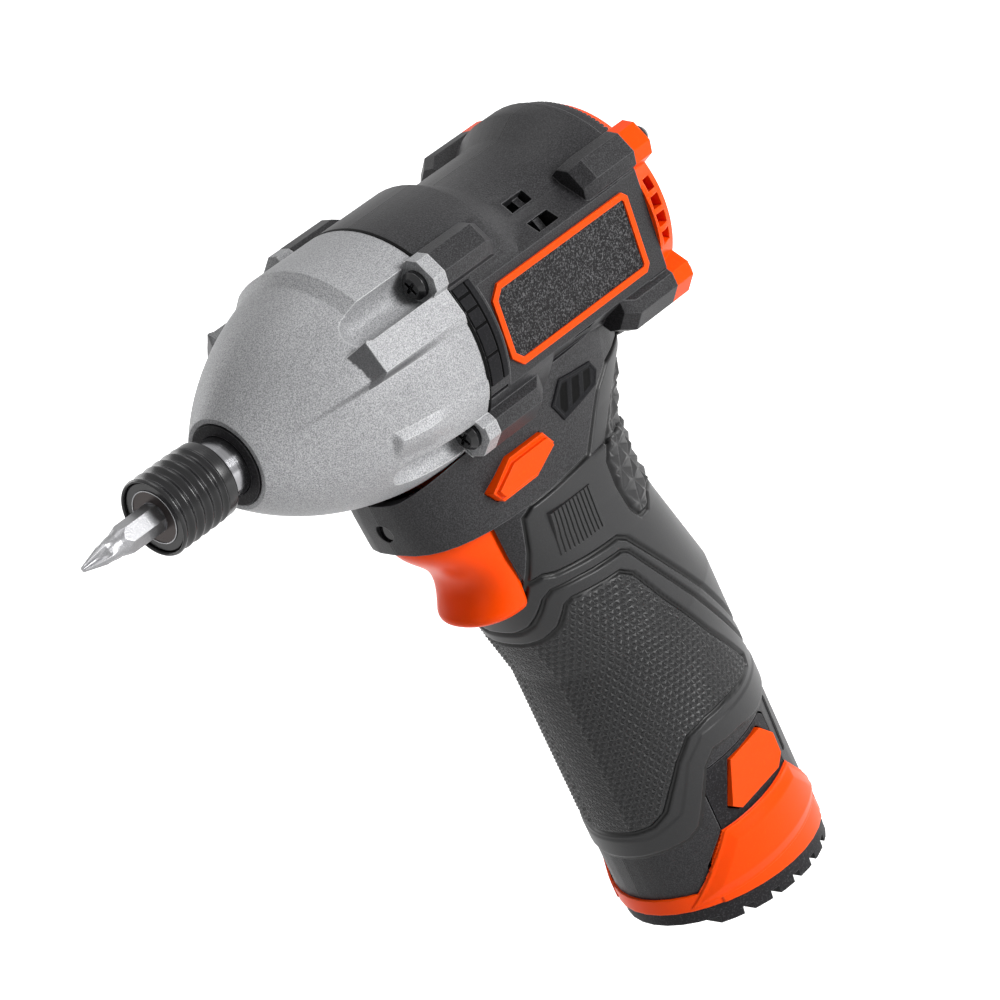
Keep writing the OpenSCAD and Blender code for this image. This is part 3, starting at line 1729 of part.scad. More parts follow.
module lamp_lens() {
  color([0.9, 0.92, 0.95]) facing(chin_fronts[1] - lamp_set - lamp_len) translate([0, lamp_z, 0])
    cylinder(r = lamp_r, h = lamp_len);
}

module housing_screws() {
  color(black) for (i = [0 : len(shell_screw_xs) - 1]) shell_screw_at(i)
    translate([0, 0, shell_head_y])
      pan_screw(shell_head_r, shell_head_h, shell_screw_r, shell_screw_len);
}

module terminal_block() {
  color(black) intersection() {
    handle_form(grip_wall);
    on_handle(terminal_z) linear_extrude(terminal_t) polygon(oval(grip_a, grip_b, 2, slice_points));
  }
}

module blade_row() {
  for (i = [-1 : 1])
    translate([0, i * blade_pitch, 0]) children();
}

module terminal_blades() {
  color(copper) on_handle(terminal_z - blade_len) blade_row()
    translate([-blade_w / 2, -blade_t / 2, 0]) cube([blade_w, blade_t, blade_len]);
}

// Battery
module pack_form(inset, from, to) {
  on_handle(from) linear_extrude(to - from)
    polygon(oval(pack_a - inset, pack_b - inset, 2, slice_points));
}

module above(z) {
  translate([-4 * grip_a, -2 * grip_a, z]) cube([8 * grip_a, 4 * grip_a, axis_h]);
}

module below(z) {
  translate([-4 * grip_a, -2 * grip_a, z - axis_h]) cube([8 * grip_a, 4 * grip_a, axis_h]);
}

module battery_case() {
  color(dark) difference() {
    union() {
      difference() {
        pack_form(0, 0, battery_len);
        pack_form(battery_wall, -over, battery_len - battery_wall * 2);
      }
      intersection() {
        on_handle() linear_extrude(pad_top) polygon(oval(grip_a, grip_b, 2, slice_points));
        for (y = [barrel_r, -button_floor_y])
          handle_side(y) linear_extrude(barrel_r - button_floor_y) polygon(pad_outline(0));
      }
    }
    for (y = [barrel_r, -button_floor_y - button_floor])
      handle_side(y) linear_extrude(barrel_r - button_floor_y - button_floor)
        polygon(button_outline(slide_gap));
    below(band_z);
  }
}

module battery_band() {
  color(orange) difference() {
    union() {
      intersection() {
        on_handle(-grip_foot) linear_extrude(grip_len)
          polygon(oval(grip_a + band_out, grip_b + band_out, 2, slice_points));
        above(band_z);
        below(grip_foot - run_gap);
      }
      intersection() {
        on_handle(-grip_foot) linear_extrude(grip_len)
          polygon(oval(grip_a + panel_out, grip_b + panel_out, 2, slice_points));
        for (y = [barrel_r, -button_floor_y - over])
          handle_side(y) linear_extrude(barrel_r - button_floor_y - over) polygon(panel_outline(0));
        above(band_z);
      }
    }
    pack_form(0, -grip_foot, battery_len);
  }
}

tread_pitch = tread_len + tread_gap;
module battery_foot() {
  color(dark) intersection() {
    on_handle(-grip_foot) linear_extrude(grip_len) polygon(oval(grip_a, grip_b, 2, slice_points));
    union() {
      translate([-2 * grip_a, -grip_a, tread_h]) cube([4 * grip_a, 2 * grip_a, band_z - tread_h]);
      translate([-foot_pad / 2, -foot_pad / 2, 0]) cube([foot_pad, foot_pad, tread_h + over]);
      for (i = [0 : tread_count - 1], s = [-1, 1])
        translate([
          (i - tread_count / 2) * tread_pitch + tread_gap / 2,
          s > 0 ? tread_mid / 2 : -grip_a,
          0,
        ])
        cube([tread_len, grip_a - tread_mid / 2, tread_h + over]);
    }
  }
}

cell_spots = [[cell_pitch / 2, -cell_y], [-cell_pitch / 2, -cell_y], [0, cell_y]];
module battery_cells() {
  color([0.2, 0.5, 0.35]) on_handle(cell_z) for (p = cell_spots) translate([p[0], p[1], 0])
    cylinder(d = cell_d, h = cell_len);
}

module cell_holder() {
  color(black) for (z = [cell_z - holder_t, holder_top]) difference() {
    pack_form(battery_wall, z, z + holder_t);
    on_handle(z - over) for (p = cell_spots) translate([p[0], p[1], 0])
      cylinder(r = cell_d / 4, h = holder_t + 2 * over);
  }
}

module battery_contacts() {
  color(copper) on_handle(battery_len) blade_row() for (s = [-1, 1]) translate([
    -blade_w / 2,
    s > 0 ? blade_t / 2 + blade_gap : -blade_t * 3 / 2 - blade_gap,
    0,
  ])
  cube([blade_w, blade_t, clip_h]);
}

button_face = grip_b + button_out;
module release_button(side) {
  difference() {
    handle_side(side > 0 ? button_face : button_t - button_face) linear_extrude(button_t)
      polygon(button_outline(0));
    on_handle(button_z + button_h / 2) rotate([-90 * side, 0, 0])
      translate([0, 0, button_face - button_t - over])
        cylinder(r = button_pocket_r, h = button_pocket + over);
  }
}

module release_left() {
  color(orange) release_button(1);
}

module release_right() {
  color(orange) release_button(-1);
}

button_spring_len = button_face - button_t + button_pocket - button_floor_y - button_floor;
module release_springs() {
  color(steel) for (s = [-1, 1]) on_handle(button_z + button_h / 2) rotate([-90 * s, 0, 0])
    translate([0, 0, button_floor_y + button_floor])
      coil(button_pocket_r * 0.75, button_wire_r, button_spring_len, button_turns);
}

// Draws one piece or all of them
function shown(name) = node == "all" || node == name;
if (shown("housing_left")) housing_left();
if (shown("housing_right")) housing_right();
if (shown("grip_left")) grip_left();
if (shown("grip_right")) grip_right();
if (shown("gear_case")) gear_case();
if (shown("gear_case_screws")) gear_case_screws();
if (shown("nose_seal")) nose_seal();
if (shown("anvil_bush")) anvil_bush();
if (shown("ring_gear")) ring_gear();
if (shown("gear_plate")) gear_plate();
if (shown("spindle_bearing")) spindle_bearing();
if (shown("motor_can")) motor_can();
if (shown("motor_magnets")) motor_magnets();
if (shown("motor_end_cap")) motor_end_cap();
if (shown("carbon_brushes")) carbon_brushes();
if (shown("rotor_bearings")) rotor_bearings();
if (shown("rear_cap")) rear_cap();
if (shown("rear_cap_screws")) rear_cap_screws();
if (shown("label_frame_left")) label_frame_left();
if (shown("label_frame_right")) label_frame_right();
if (shown("label_plate_left")) label_plate_left();
if (shown("label_plate_right")) label_plate_right();
if (shown("trigger_switch")) trigger_switch();
if (shown("lamp_lens")) lamp_lens();
if (shown("housing_screws")) housing_screws();
if (shown("terminal_block")) terminal_block();
if (shown("terminal_blades")) terminal_blades();
if (shown("rotor_shaft")) rotor_shaft();
if (shown("armature_core")) armature_core();
if (shown("end_windings")) end_windings();
if (shown("commutator")) commutator();
if (shown("cooling_fan")) cooling_fan();
if (shown("sun_pinion")) sun_pinion();
if (shown("cam_shaft")) cam_shaft();
if (shown("planet_pins")) planet_pins();
if (shown("spring_washer")) spring_washer();
if (shown("planet_1")) planet_1();
if (shown("planet_2")) planet_2();
if (shown("planet_3")) planet_3();
if (shown("hammer")) hammer();
if (shown("hammer_balls")) hammer_balls();
if (shown("hammer_spring")) hammer_spring();
if (shown("anvil")) anvil();
if (shown("driver_bit")) driver_bit();
if (shown("lock_balls")) lock_balls();
if (shown("retaining_ring")) retaining_ring();
if (shown("collet_sleeve")) collet_sleeve();
if (shown("sleeve_spring")) sleeve_spring();
if (shown("trigger")) trigger();
if (shown("switch_rod")) switch_rod();
if (shown("selector")) selector();
if (shown("battery_case")) battery_case();
if (shown("battery_band")) battery_band();
if (shown("battery_foot")) battery_foot();
if (shown("battery_cells")) battery_cells();
if (shown("cell_holder")) cell_holder();
if (shown("battery_contacts")) battery_contacts();
if (shown("release_left")) release_left();
if (shown("release_right")) release_right();
if (shown("release_springs")) release_springs();
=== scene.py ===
"""Looks of a cordless impact driver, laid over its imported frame.

Sizes are millimetres measured from the middle of the gear case flange: x forward along the spindle, y to the
left, z up. They become metres in the shared frame only when a mesh is made.
"""

import json
import logging
import math
from dataclasses import dataclass, field
from enum import Enum
from typing import Any, ClassVar

import bpy
import numpy as np
from mathutils import Matrix

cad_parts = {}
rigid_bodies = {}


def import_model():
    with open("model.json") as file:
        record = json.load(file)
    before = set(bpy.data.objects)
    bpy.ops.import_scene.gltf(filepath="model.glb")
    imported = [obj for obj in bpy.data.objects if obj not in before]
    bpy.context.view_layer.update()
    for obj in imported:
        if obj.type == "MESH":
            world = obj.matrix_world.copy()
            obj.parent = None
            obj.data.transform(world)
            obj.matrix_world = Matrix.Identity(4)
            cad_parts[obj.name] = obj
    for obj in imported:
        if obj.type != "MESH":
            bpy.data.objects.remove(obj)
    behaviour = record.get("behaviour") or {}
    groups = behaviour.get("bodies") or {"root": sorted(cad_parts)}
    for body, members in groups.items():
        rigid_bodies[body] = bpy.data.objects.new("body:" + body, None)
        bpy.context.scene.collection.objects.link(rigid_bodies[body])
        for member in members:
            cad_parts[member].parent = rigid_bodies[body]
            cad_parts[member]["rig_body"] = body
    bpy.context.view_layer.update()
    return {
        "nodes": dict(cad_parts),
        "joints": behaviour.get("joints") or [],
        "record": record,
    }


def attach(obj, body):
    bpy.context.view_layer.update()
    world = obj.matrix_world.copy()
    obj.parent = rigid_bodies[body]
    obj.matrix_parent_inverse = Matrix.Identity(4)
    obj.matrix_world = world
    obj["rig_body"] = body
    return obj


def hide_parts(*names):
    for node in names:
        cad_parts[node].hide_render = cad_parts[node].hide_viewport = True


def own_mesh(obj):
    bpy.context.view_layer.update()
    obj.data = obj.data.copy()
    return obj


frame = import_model()

Array = np.ndarray
Colour = tuple[float, float, float]
Pair = tuple[float, float]
MM = 0.001
SHARP = 34.0
SIDES = (("left", 1), ("right", -1))
LOG = logging.getLogger("impact_driver")


def joint(name: str) -> dict[str, Any]:
    """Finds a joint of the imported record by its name.

    Args:
        name: the joint's name.

    Returns:
        The joint's own record.
    """
    return next(item for item in frame["joints"] if item["name"] == name)


FLANGE = np.array(joint("spindle_spin")["pos_m"]) / MM
DOWN = np.array(joint("battery_slide")["axis"])
RAKE = math.atan2(-DOWN[0], -DOWN[2])


def tone(red: int, green: int, blue: int) -> Colour:
    """Turns a display colour of 0 to 255 into the linear colour that shaders use, by the sRGB curve.

    Args:
        red: red part.
        green: green part.
        blue: blue part.

    Returns:
        The linear colour.
    """
    parts = np.array([red, green, blue]) / 255.0
    linear = np.where(parts <= 0.04045, parts / 12.92, ((parts + 0.055) / 1.055) ** 2.4)
    return tuple(float(part) for part in linear)


class Graph:
    """A node tree with short calls that add nodes and join them."""

    def __init__(self, tree: bpy.types.NodeTree) -> None:
        """Holds the tree that the calls work on."""
        self.tree = tree

    def join(self, value: Any, socket: bpy.types.NodeSocket) -> None:
        """Links an output to a socket, or sets the socket to a plain value.

        Args:
            value: an output socket, a number or a colour.
            socket: the input that takes it.
        """
        if isinstance(value, bpy.types.NodeSocket):
            self.tree.links.new(value, socket)
        elif isinstance(value, tuple) and len(value) == 3 and socket.type == "RGBA":
            socket.default_value = (*value, 1.0)
        else:
            socket.default_value = value

    def node(self, kind: str, settings: dict[str, Any] | None = None, **sockets: Any) -> bpy.types.Node:
        """Adds a node.

        Args:
            kind: the node's type.
            settings: the node's own properties.
            sockets: inputs by name with _ for a space, or by place as i0, i1 and so on.

        Returns:
            The node.
        """
        made = self.tree.nodes.new(kind)
        for key, value in (settings or {}).items():
            setattr(made, key, value)
        for key, value in sockets.items():
            place = int(key[1:]) if key[0] == "i" and key[1:].isdigit() else key.replace("_", " ")
            self.join(value, made.inputs[place])
        return made

    def math(self, operation: str, *values: Any) -> bpy.types.NodeSocket:
        """Adds a Math node and returns its value."""
        sockets = {f"i{place}": value for place, value in enumerate(values)}
        return self.node("ShaderNodeMath", {"operation": operation}, **sockets).outputs[0]

    def span(self, value: Any, lo: Any, hi: Any, to_lo: float, to_hi: float) -> bpy.types.NodeSocket:
        """Carries a value from one range to another, held at both ends.

        Args:
            value: the value.
            lo: start of its range.
            hi: end of its range.
            to_lo: what the start becomes.
            to_hi: what the end becomes.

        Returns:
            The new value.
        """
        return self.node("ShaderNodeMapRange", None, i0=value, i1=lo, i2=hi, i3=to_lo, i4=to_hi).outputs[0]

    def mix(self, share: Any, first: Any, second: Any) -> bpy.types.NodeSocket:
        """Mixes two colours and returns the result."""
        return self.node("ShaderNodeMix", {"data_type": "RGBA"}, i0=share, i6=first, i7=second).outputs[2]

    def group(self, tree: bpy.types.NodeTree, **sockets: Any) -> bpy.types.Node:
        """Places a node group with its own input values."""
        return self.node("ShaderNodeGroup", {"node_tree": tree}, **sockets)

    def times(self, first: Any, second: Any) -> bpy.types.NodeSocket:
        """Multiplies two values."""
        return self.math("MULTIPLY", first, second)

    def place(self) -> bpy.types.NodeSocket:
        """Where a point lies in the piece's own frame."""
        return self.node("ShaderNodeTexCoord").outputs["Object"]

    def noise(self, place: Any, scale: Any, detail: float, rough: float = 0.5) -> bpy.types.NodeSocket:
        """Adds a noise texture and returns its value."""
        sockets = {"Vector": place, "Scale": scale, "Detail": detail, "Roughness": rough}
        return self.node("ShaderNodeTexNoise", None, **sockets).outputs[0]


def new_group(name: str, inputs: tuple[str, ...], outputs: dict[str, str]) -> tuple[Graph, Any, Any]:
    """Starts a shader node group.

    Args:
        name: the group's name.
        inputs: names of its number inputs.
        outputs: its outputs, each with its socket type.

    Returns:
        The group's graph, its input node and its output node.
    """
    tree = bpy.data.node_groups.new(name, "ShaderNodeTree")
    for label in inputs:
        tree.interface.new_socket(name=label, in_out="INPUT", socket_type="NodeSocketFloat")
    for label, kind in outputs.items():
        tree.interface.new_socket(name=label, in_out="OUTPUT", socket_type=kind)
    graph = Graph(tree)
    return graph, graph.node("NodeGroupInput"), graph.node("NodeGroupOutput")


class Effects:
    """The shader node groups that the finishes share."""

    FACE_DOT: ClassVar[float] = 0.995
    EDGE_DOT: ClassVar[float] = 0.86
    CELL_SCALE: ClassVar[float] = 0.8
    NOISE_SHARE: ClassVar[float] = 0.7
    CELL_SHARE: ClassVar[float] = 0.45
    DRIFT_RANGE: ClassVar[Pair] = (0.3, 0.7)
    STRETCH: ClassVar[tuple[float, float, float]] = (1.0, 0.02, 0.02)

    def __init__(self) -> None:
        """Builds each group once."""
        self.edge = self._edge()
        self.grain = self._grain()
        self.drift = self._drift()
        self.brush = self._brush()

    def _edge(self) -> bpy.types.NodeTree:
        """Rounds sharp edges for the light, and marks where they are.

        Returns:
            The group, whose Edge is 0 on a face and 1 on an edge, where a highlight is painted.
        """
        graph, given, out = new_group(
            "rounded_edge", ("Radius",), {"Normal": "NodeSocketVector", "Edge": "NodeSocketFloat"}
        )
        bevel = graph.node("ShaderNodeBevel", {"samples": 6}, Radius=given.outputs["Radius"]).outputs[0]
        flat = graph.node("ShaderNodeNewGeometry").outputs["Normal"]
        dot = graph.node("ShaderNodeVectorMath", {"operation": "DOT_PRODUCT"}, i0=bevel, i1=flat)
        graph.join(bevel, out.inputs["Normal"])
        edge = graph.span(dot.outputs["Value"], self.FACE_DOT, self.EDGE_DOT, 0.0, 1.0)
        graph.join(edge, out.inputs["Edge"])
        return graph.tree

    def _grain(self) -> bpy.types.NodeTree:
        """Fine moulded or blasted grain.

        Returns:
            The group, with the grain's height and a mask of its tops, on which a highlight is painted.
        """
        graph, given, out = new_group(
            "fine_grain", ("Scale", "From", "To"), {"Height": "NodeSocketFloat", "Highlight": "NodeSocketFloat"}
        )
        place, scale = graph.place(), given.outputs["Scale"]
        noise = graph.noise(place, scale, detail=3.0, rough=0.65)
        coarse = graph.times(scale, self.CELL_SCALE)
        cells = graph.node("ShaderNodeTexVoronoi", None, Vector=place, Scale=coarse)
        bumps = graph.times(cells.outputs["Distance"], self.CELL_SHARE)
        graph.join(graph.math("ADD", graph.times(noise, self.NOISE_SHARE), bumps), out.inputs["Height"])
        grain_highlight = graph.span(noise, given.outputs["From"], given.outputs["To"], 0.0, 1.0)
        graph.join(grain_highlight, out.inputs["Highlight"])
        return graph.tree

    def _drift(self) -> bpy.types.NodeTree:
        """Slow change over a hand's breadth, from handling and moulding.

        Returns:
            The group, whose Drift goes from 0 to 1.
        """
        graph, given, out = new_group("slow_drift", ("Scale",), {"Drift": "NodeSocketFloat"})
        noise = graph.noise(graph.place(), given.outputs["Scale"], detail=2.0)
        graph.join(graph.span(noise, *self.DRIFT_RANGE, 0.0, 1.0), out.inputs["Drift"])
        return graph.tree

    def _brush(self) -> bpy.types.NodeTree:
        """Turning marks round the spindle: rings along x, broken up a little by noise.

        Returns:
            The group.
        """
        graph, given, out = new_group("turning_marks", ("Scale",), {"Marks": "NodeSocketFloat"})
        stretch = graph.node("ShaderNodeMapping", None, Vector=graph.place(), Scale=self.STRETCH).outputs[0]
        marks = graph.noise(stretch, given.outputs["Scale"], detail=4.0, rough=0.7)
        graph.join(marks, out.inputs["Marks"])
        return graph.tree


class Grain(Enum):
    """How a finish is marked all over."""

    FINE = "fine"
    TURNED = "turned"


@dataclass(frozen=True)
class Finish:
    """A finish: its colours, gloss and grain, with highlights and shade painted into its colour.

    base is the body colour; the second colour is a painted highlight on the tops of the grain and the third a
    painted highlight along edges. groove is painted shade: the colour where a piece carries the value groove.
    seam is the half width of a dark line at y = 0.
    """

    DRIFT_SCALE: ClassVar[float] = 28.0
    SHADE: ClassVar[float] = 0.6
    SEAM_CORE: ClassVar[float] = 0.6
    SEAM_COLOUR: ClassVar[Colour] = tone(4, 4, 4)
    BUMP: ClassVar[float] = 0.8

    name: str
    slot: str
    base: Colour
    grain_highlight: Colour
    edge_highlight: Colour
    roughness: Pair = (0.45, 0.6)
    metallic: float = 0.0
    grain: Grain = Grain.FINE
    grain_size: float = 0.4
    grain_depth: float = 0.04
    grain_highlight_share: float = 0.5
    grain_highlight_range: Pair = (0.52, 0.72)
    edge_radius: float = 0.35
    edge_highlight_share: float = 0.35
    drift_share: float = 0.12
    coat: float = 0.0
    specular: float = 0.22
    groove: Colour | None = None
    seam: float = 0.0

    def material(self, effects: Effects) -> bpy.types.Material:
        """Builds the material.

        Args:
            effects: the shared node groups.

        Returns:
            The material, marked by grain, with painted highlights on the grain's tops and along its edges,
            and painted shade where groove is set.
        """
        made = bpy.data.materials.new(self.name)
        made.use_nodes = True
        graph = Graph(made.node_tree)
        shader = made.node_tree.nodes["Principled BSDF"]
        edge = graph.group(effects.edge, Radius=self.edge_radius * MM)
        drift = graph.group(effects.drift, Scale=self.DRIFT_SCALE).outputs["Drift"]
        scale = 1.0 / (self.grain_size * MM)
        if self.grain is Grain.FINE:
            marks = graph.group(effects.grain, Scale=scale, From=self.grain_highlight_range[0], To=self.grain_highlight_range[1])
            height, grain_highlight = marks.outputs["Height"], marks.outputs["Highlight"]
        else:
            height = grain_highlight = graph.group(effects.brush, Scale=scale).outputs["Marks"]
        # Painted highlight on the tops of the grain.
        colour = graph.mix(graph.times(grain_highlight, self.grain_highlight_share), self.base, self.grain_highlight)
        shade = tuple(part * self.SHADE for part in self.base)
        colour = graph.mix(graph.times(drift, self.drift_share), colour, shade)
        # Painted highlight along the edges.
        colour = graph.mix(graph.times(edge.outputs["Edge"], self.edge_highlight_share), colour, self.edge_highlight)
        # Painted shade where a piece carries the value groove.
        if self.groove is not None:
            depth = graph.node("ShaderNodeAttribute", {"attribute_name": "groove"}).outputs["Fac"]
            colour = graph.mix(depth, colour, self.groove)
        if self.seam > 0.0:
            parts = graph.node("ShaderNodeSeparateXYZ", None, i0=graph.place())
            across = graph.math("ABSOLUTE", parts.outputs[1])
            line = graph.span(across, self.seam * self.SEAM_CORE * MM, self.seam * MM, 1.0, 0.0)
            colour = graph.mix(line, colour, self.SEAM_COLOUR)
        graph.join(colour, shader.inputs["Base Color"])
        low, high = self.roughness
        blend = graph.math("ADD", graph.times(drift, 0.5), graph.times(grain_highlight, 0.5))
        graph.join(graph.span(blend, 0.0, 1.0, low, high), shader.inputs["Roughness"])
        bump = graph.node(
            "ShaderNodeBump", None, Strength=self.BUMP, Distance=self.grain_depth * MM, Height=height,
            Normal=edge.outputs["Normal"],
        )
        graph.join(bump.outputs[0], shader.inputs["Normal"])
        shader.inputs["Metallic"].default_value = self.metallic
        shader.inputs["Coat Weight"].default_value = self.coat
        shader.inputs["Specular IOR Level"].default_value = self.specular
        return made


# Each finish lists base, a painted highlight on the grain's tops and a painted highlight along edges; groove
# is a painted shade colour.
FINISHES: dict[str, Finish] = {
    item.name: item
    for item in (
        Finish("outlet_black", "black_plastic", tone(26, 26, 28), tone(56, 56, 58), tone(90, 90, 92),
               (0.5, 0.62), grain_size=0.5, grain_depth=0.05, grain_highlight_share=0.4, specular=0.06,
               groove=tone(1, 1, 1)),
        Finish("seamed_black", "black_plastic", tone(23, 22, 24), tone(78, 78, 80), tone(122, 122, 124),
               (0.38, 0.52), grain_size=0.34, grain_depth=0.07, grain_highlight_share=0.6, grain_highlight_range=(0.42, 0.7),
               edge_radius=0.45, edge_highlight_share=0.45, seam=0.16),
        Finish("speckled_black", "black_plastic", tone(31, 30, 32), tone(84, 84, 86), tone(118, 118, 120),
               (0.5, 0.62), grain_size=0.5, grain_depth=0.07, grain_highlight_share=0.6, edge_radius=0.4, specular=0.1),
        Finish("soft_rubber", "rubber_grip", tone(32, 32, 33), tone(56, 56, 57), tone(96, 96, 97),
               (0.36, 0.48), grain_size=0.35, grain_depth=0.02, grain_highlight_share=0.3, edge_radius=0.08,
               edge_highlight_share=0.3, specular=0.32, groove=tone(2, 2, 2)),
        Finish("orange_plastic", "orange_plastic", tone(255, 74, 0), tone(255, 88, 4), tone(255, 120, 40),
               (0.3, 0.42), grain_size=0.6, grain_depth=0.012, grain_highlight_share=0.4, edge_radius=0.45,
               edge_highlight_share=0.3, drift_share=0.06, specular=0.1),
        Finish("blasted_casting", "cast_silver", tone(124, 125, 127), tone(208, 208, 210),
               tone(240, 240, 240), (0.4, 0.54), 0.12, grain_size=0.3, grain_depth=0.06, grain_highlight_share=0.75,
               grain_highlight_range=(0.36, 0.66), edge_radius=0.4, edge_highlight_share=0.6, drift_share=0.2,
               groove=tone(62, 62, 64)),
        Finish("bit_steel", "steel", tone(138, 138, 140), tone(186, 186, 187), tone(226, 226, 226),
               (0.3, 0.46), 0.75, grain_size=0.35, grain_depth=0.03, grain_highlight_share=0.5, edge_radius=0.15,
               edge_highlight_share=0.5),
        Finish("burnished_steel", "steel", tone(52, 47, 46), tone(78, 70, 68), tone(150, 146, 144),
               (0.24, 0.36), 0.7, Grain.TURNED, grain_size=0.3, grain_depth=0.01, edge_radius=0.15),
        Finish("turned_steel", "steel", tone(150, 151, 154), tone(190, 191, 193), tone(215, 215, 216),
               (0.24, 0.4), 1.0, Grain.TURNED, grain_size=0.25, grain_depth=0.01, edge_radius=0.2),
        Finish("polished_steel", "bright_steel", tone(120, 120, 123), tone(190, 190, 192),
               tone(225, 225, 225), (0.12, 0.24), 1.0, Grain.TURNED, grain_size=0.3, grain_depth=0.01,
               edge_radius=0.2),
        Finish("black_oxide", "black_steel", tone(14, 14, 15), tone(40, 40, 42), tone(120, 120, 122),
               (0.2, 0.32), 0.1, Grain.TURNED, grain_size=0.25, grain_depth=0.01, edge_radius=0.25,
               edge_highlight_share=0.4, specular=0.4),
        Finish("sintered_bronze", "bronze", tone(168, 120, 62), tone(196, 150, 92), tone(214, 170, 110),
               (0.35, 0.5), 1.0, grain_size=0.3),
        Finish("drawn_copper", "copper", tone(186, 104, 62), tone(212, 132, 88), tone(226, 150, 110),
               (0.25, 0.4), 1.0, Grain.TURNED, grain_size=0.3, grain_depth=0.02),
        Finish("grained_insert", "grained_plate", tone(15, 14, 16), tone(132, 132, 134), tone(110, 110, 112),
               (0.4, 0.55), grain_size=0.42, grain_depth=0.25, grain_highlight_share=0.6, grain_highlight_range=(0.5, 0.68),
               edge_radius=0.2, specular=0.12),
        Finish("clear_lens", "lens", tone(14, 14, 16), tone(30, 30, 34), tone(60, 60, 64),
               (0.06, 0.12), grain_size=0.8, grain_depth=0.01, edge_radius=0.2, coat=0.3),
        Finish("cell_sleeve", "cell_wrap", tone(52, 92, 150), tone(70, 110, 168), tone(110, 146, 196),
               (0.3, 0.42), grain_size=0.6, grain_depth=0.02, coat=0.2),
        Finish("pressed_carbon", "carbon", tone(24, 24, 25), tone(44, 44, 46), tone(60, 60, 62),
               (0.5, 0.7), grain_size=0.2, grain_depth=0.02),
    )
}


class Palette:
    """Materials by finish name, each made once. Where finishes share a slot, the last one stands for it."""

    def __init__(self) -> None:
        """Makes every material."""
        effects = Effects()
        self.by_name = {name: item.material(effects) for name, item in FINISHES.items()}
        self.name_of_slot = {item.slot: name for name, item in FINISHES.items()}

    def dress(self, piece: bpy.types.Object, finish: str) -> None:
        """Gives a piece one finish all over.

        Args:
            piece: the piece.
            finish: the finish's name.
        """
        piece.data.materials.clear()
        piece.data.materials.append(self.by_name[finish])


def put(name: str, points: Array, faces: Array, body: str, sharp: float = SHARP) -> bpy.types.Object:
    """Makes a piece from points and faces and sets it riding.

    Args:
        name: the piece's name.
        points: (n, 3) millimetres from the flange.
        faces: (m, 3) or (m, 4) corners.
        body: the body it moves with.
        sharp: the bend in degrees from which an edge stays sharp.

    Returns:
        The piece, smooth between its sharp edges.
    """
    mesh = bpy.data.meshes.new(name)
    mesh.from_pydata((points + FLANGE) * MM, [], faces)
    mesh.validate()
    mesh.shade_smooth()
    mesh.set_sharp_from_angle(angle=math.radians(sharp))
    piece = bpy.data.objects.new(name, mesh)
    bpy.context.scene.collection.objects.link(piece)
    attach(piece, body)
    LOG.info("%s: %d faces on %s", name, len(mesh.polygons), body)
    return piece


def grid_faces(rows: int, columns: int, wrap_rows: bool = False, wrap_columns: bool = False) -> Array:
    """Corners of the quads of a grid, turned so that rows cross columns points outwards.

    Args:
        rows: points along the first parameter.
        columns: points along the second parameter.
        wrap_rows: joins the last row to the first.
        wrap_columns: joins the last column to the first.

    Returns:
        (m, 4) corners.
    """
    row = np.arange(rows if wrap_rows else rows - 1)[:, None]
    column = np.arange(columns if wrap_columns else columns - 1)[None, :]
    after, beside = (row + 1) % rows, (column + 1) % columns
    corners = (
        row * columns + column, after * columns + column, after * columns + beside, row * columns + beside,
    )
    return np.stack([np.broadcast_to(part, (row.size, column.size)) for part in corners], -1).reshape(-1, 4)


def surface(
    name: str, points: Array, body: str, wraps: tuple[bool, bool] = (False, False), keep: Array | None = None,
    groove: Array | None = None, sharp: float = SHARP,
) -> bpy.types.Object:
    """Makes a piece from a grid of points.

    Args:
        name: the piece's name.
        points: (rows, columns, 3) millimetres from the flange.
        body: the body it moves with.
        wraps: whether rows and columns close on themselves.
        keep: True where a point is wanted; quads that miss a corner are left out.
        groove: a value from 0 to 1 at each point, how much painted shade it gets, in a groove, slot or gap or
            on a shaded bevel.
        sharp: the bend in degrees from which an edge stays sharp.

    Returns:
        The piece.
    """
    rows, columns = points.shape[:2]
    faces = grid_faces(rows, columns, *wraps)
    flat = points.reshape(-1, 3)
    used = np.arange(len(flat))
    if keep is not None:
        faces = faces[keep.reshape(-1)[faces].all(axis=1)]
        used, faces = np.unique(faces, return_inverse=True)
        faces = faces.reshape(-1, 4)
    piece = put(name, flat[used], faces, body, sharp)
    if groove is not None:
        layer = piece.data.attributes.new("groove", "FLOAT", "POINT")
        layer.data.foreach_set("value", groove.reshape(-1)[used].astype(np.float32))
    return piece


def rounded(corners: Array, radius: float, steps: int = 5) -> Array:
    """Rounds the corners of a line: each corner becomes a parabola that touches both of its sides.

    Args:
        corners: (n, 2) points; the two ends stay.
        radius: how far from a corner the curve starts, at most half of the side.
        steps: points on each curve.

    Returns:
        The rounded line.
    """
    corners = np.asarray(corners, float)
    middle, before, after = corners[1:-1], corners[:-2] - corners[1:-1], corners[2:] - corners[1:-1]
    reach = [
        side * np.minimum(radius / np.linalg.norm(side, axis=1), 0.5)[:, None] for side in (before, after)
    ]
    t = np.linspace(0.0, 1.0, steps)[None, :, None]
    curve = middle[:, None] + (1 - t) ** 2 * reach[0][:, None] + t ** 2 * reach[1][:, None]
    return np.vstack([corners[:1], curve.reshape(-1, 2), corners[-1:]])


def around_spindle(x: Array, r: Array, angle: Array) -> Array:
    """Points at places x along the spindle, radii r from it and angles round it."""
    return np.stack([x + 0 * angle, r * np.cos(angle), r * np.sin(angle)], -1)


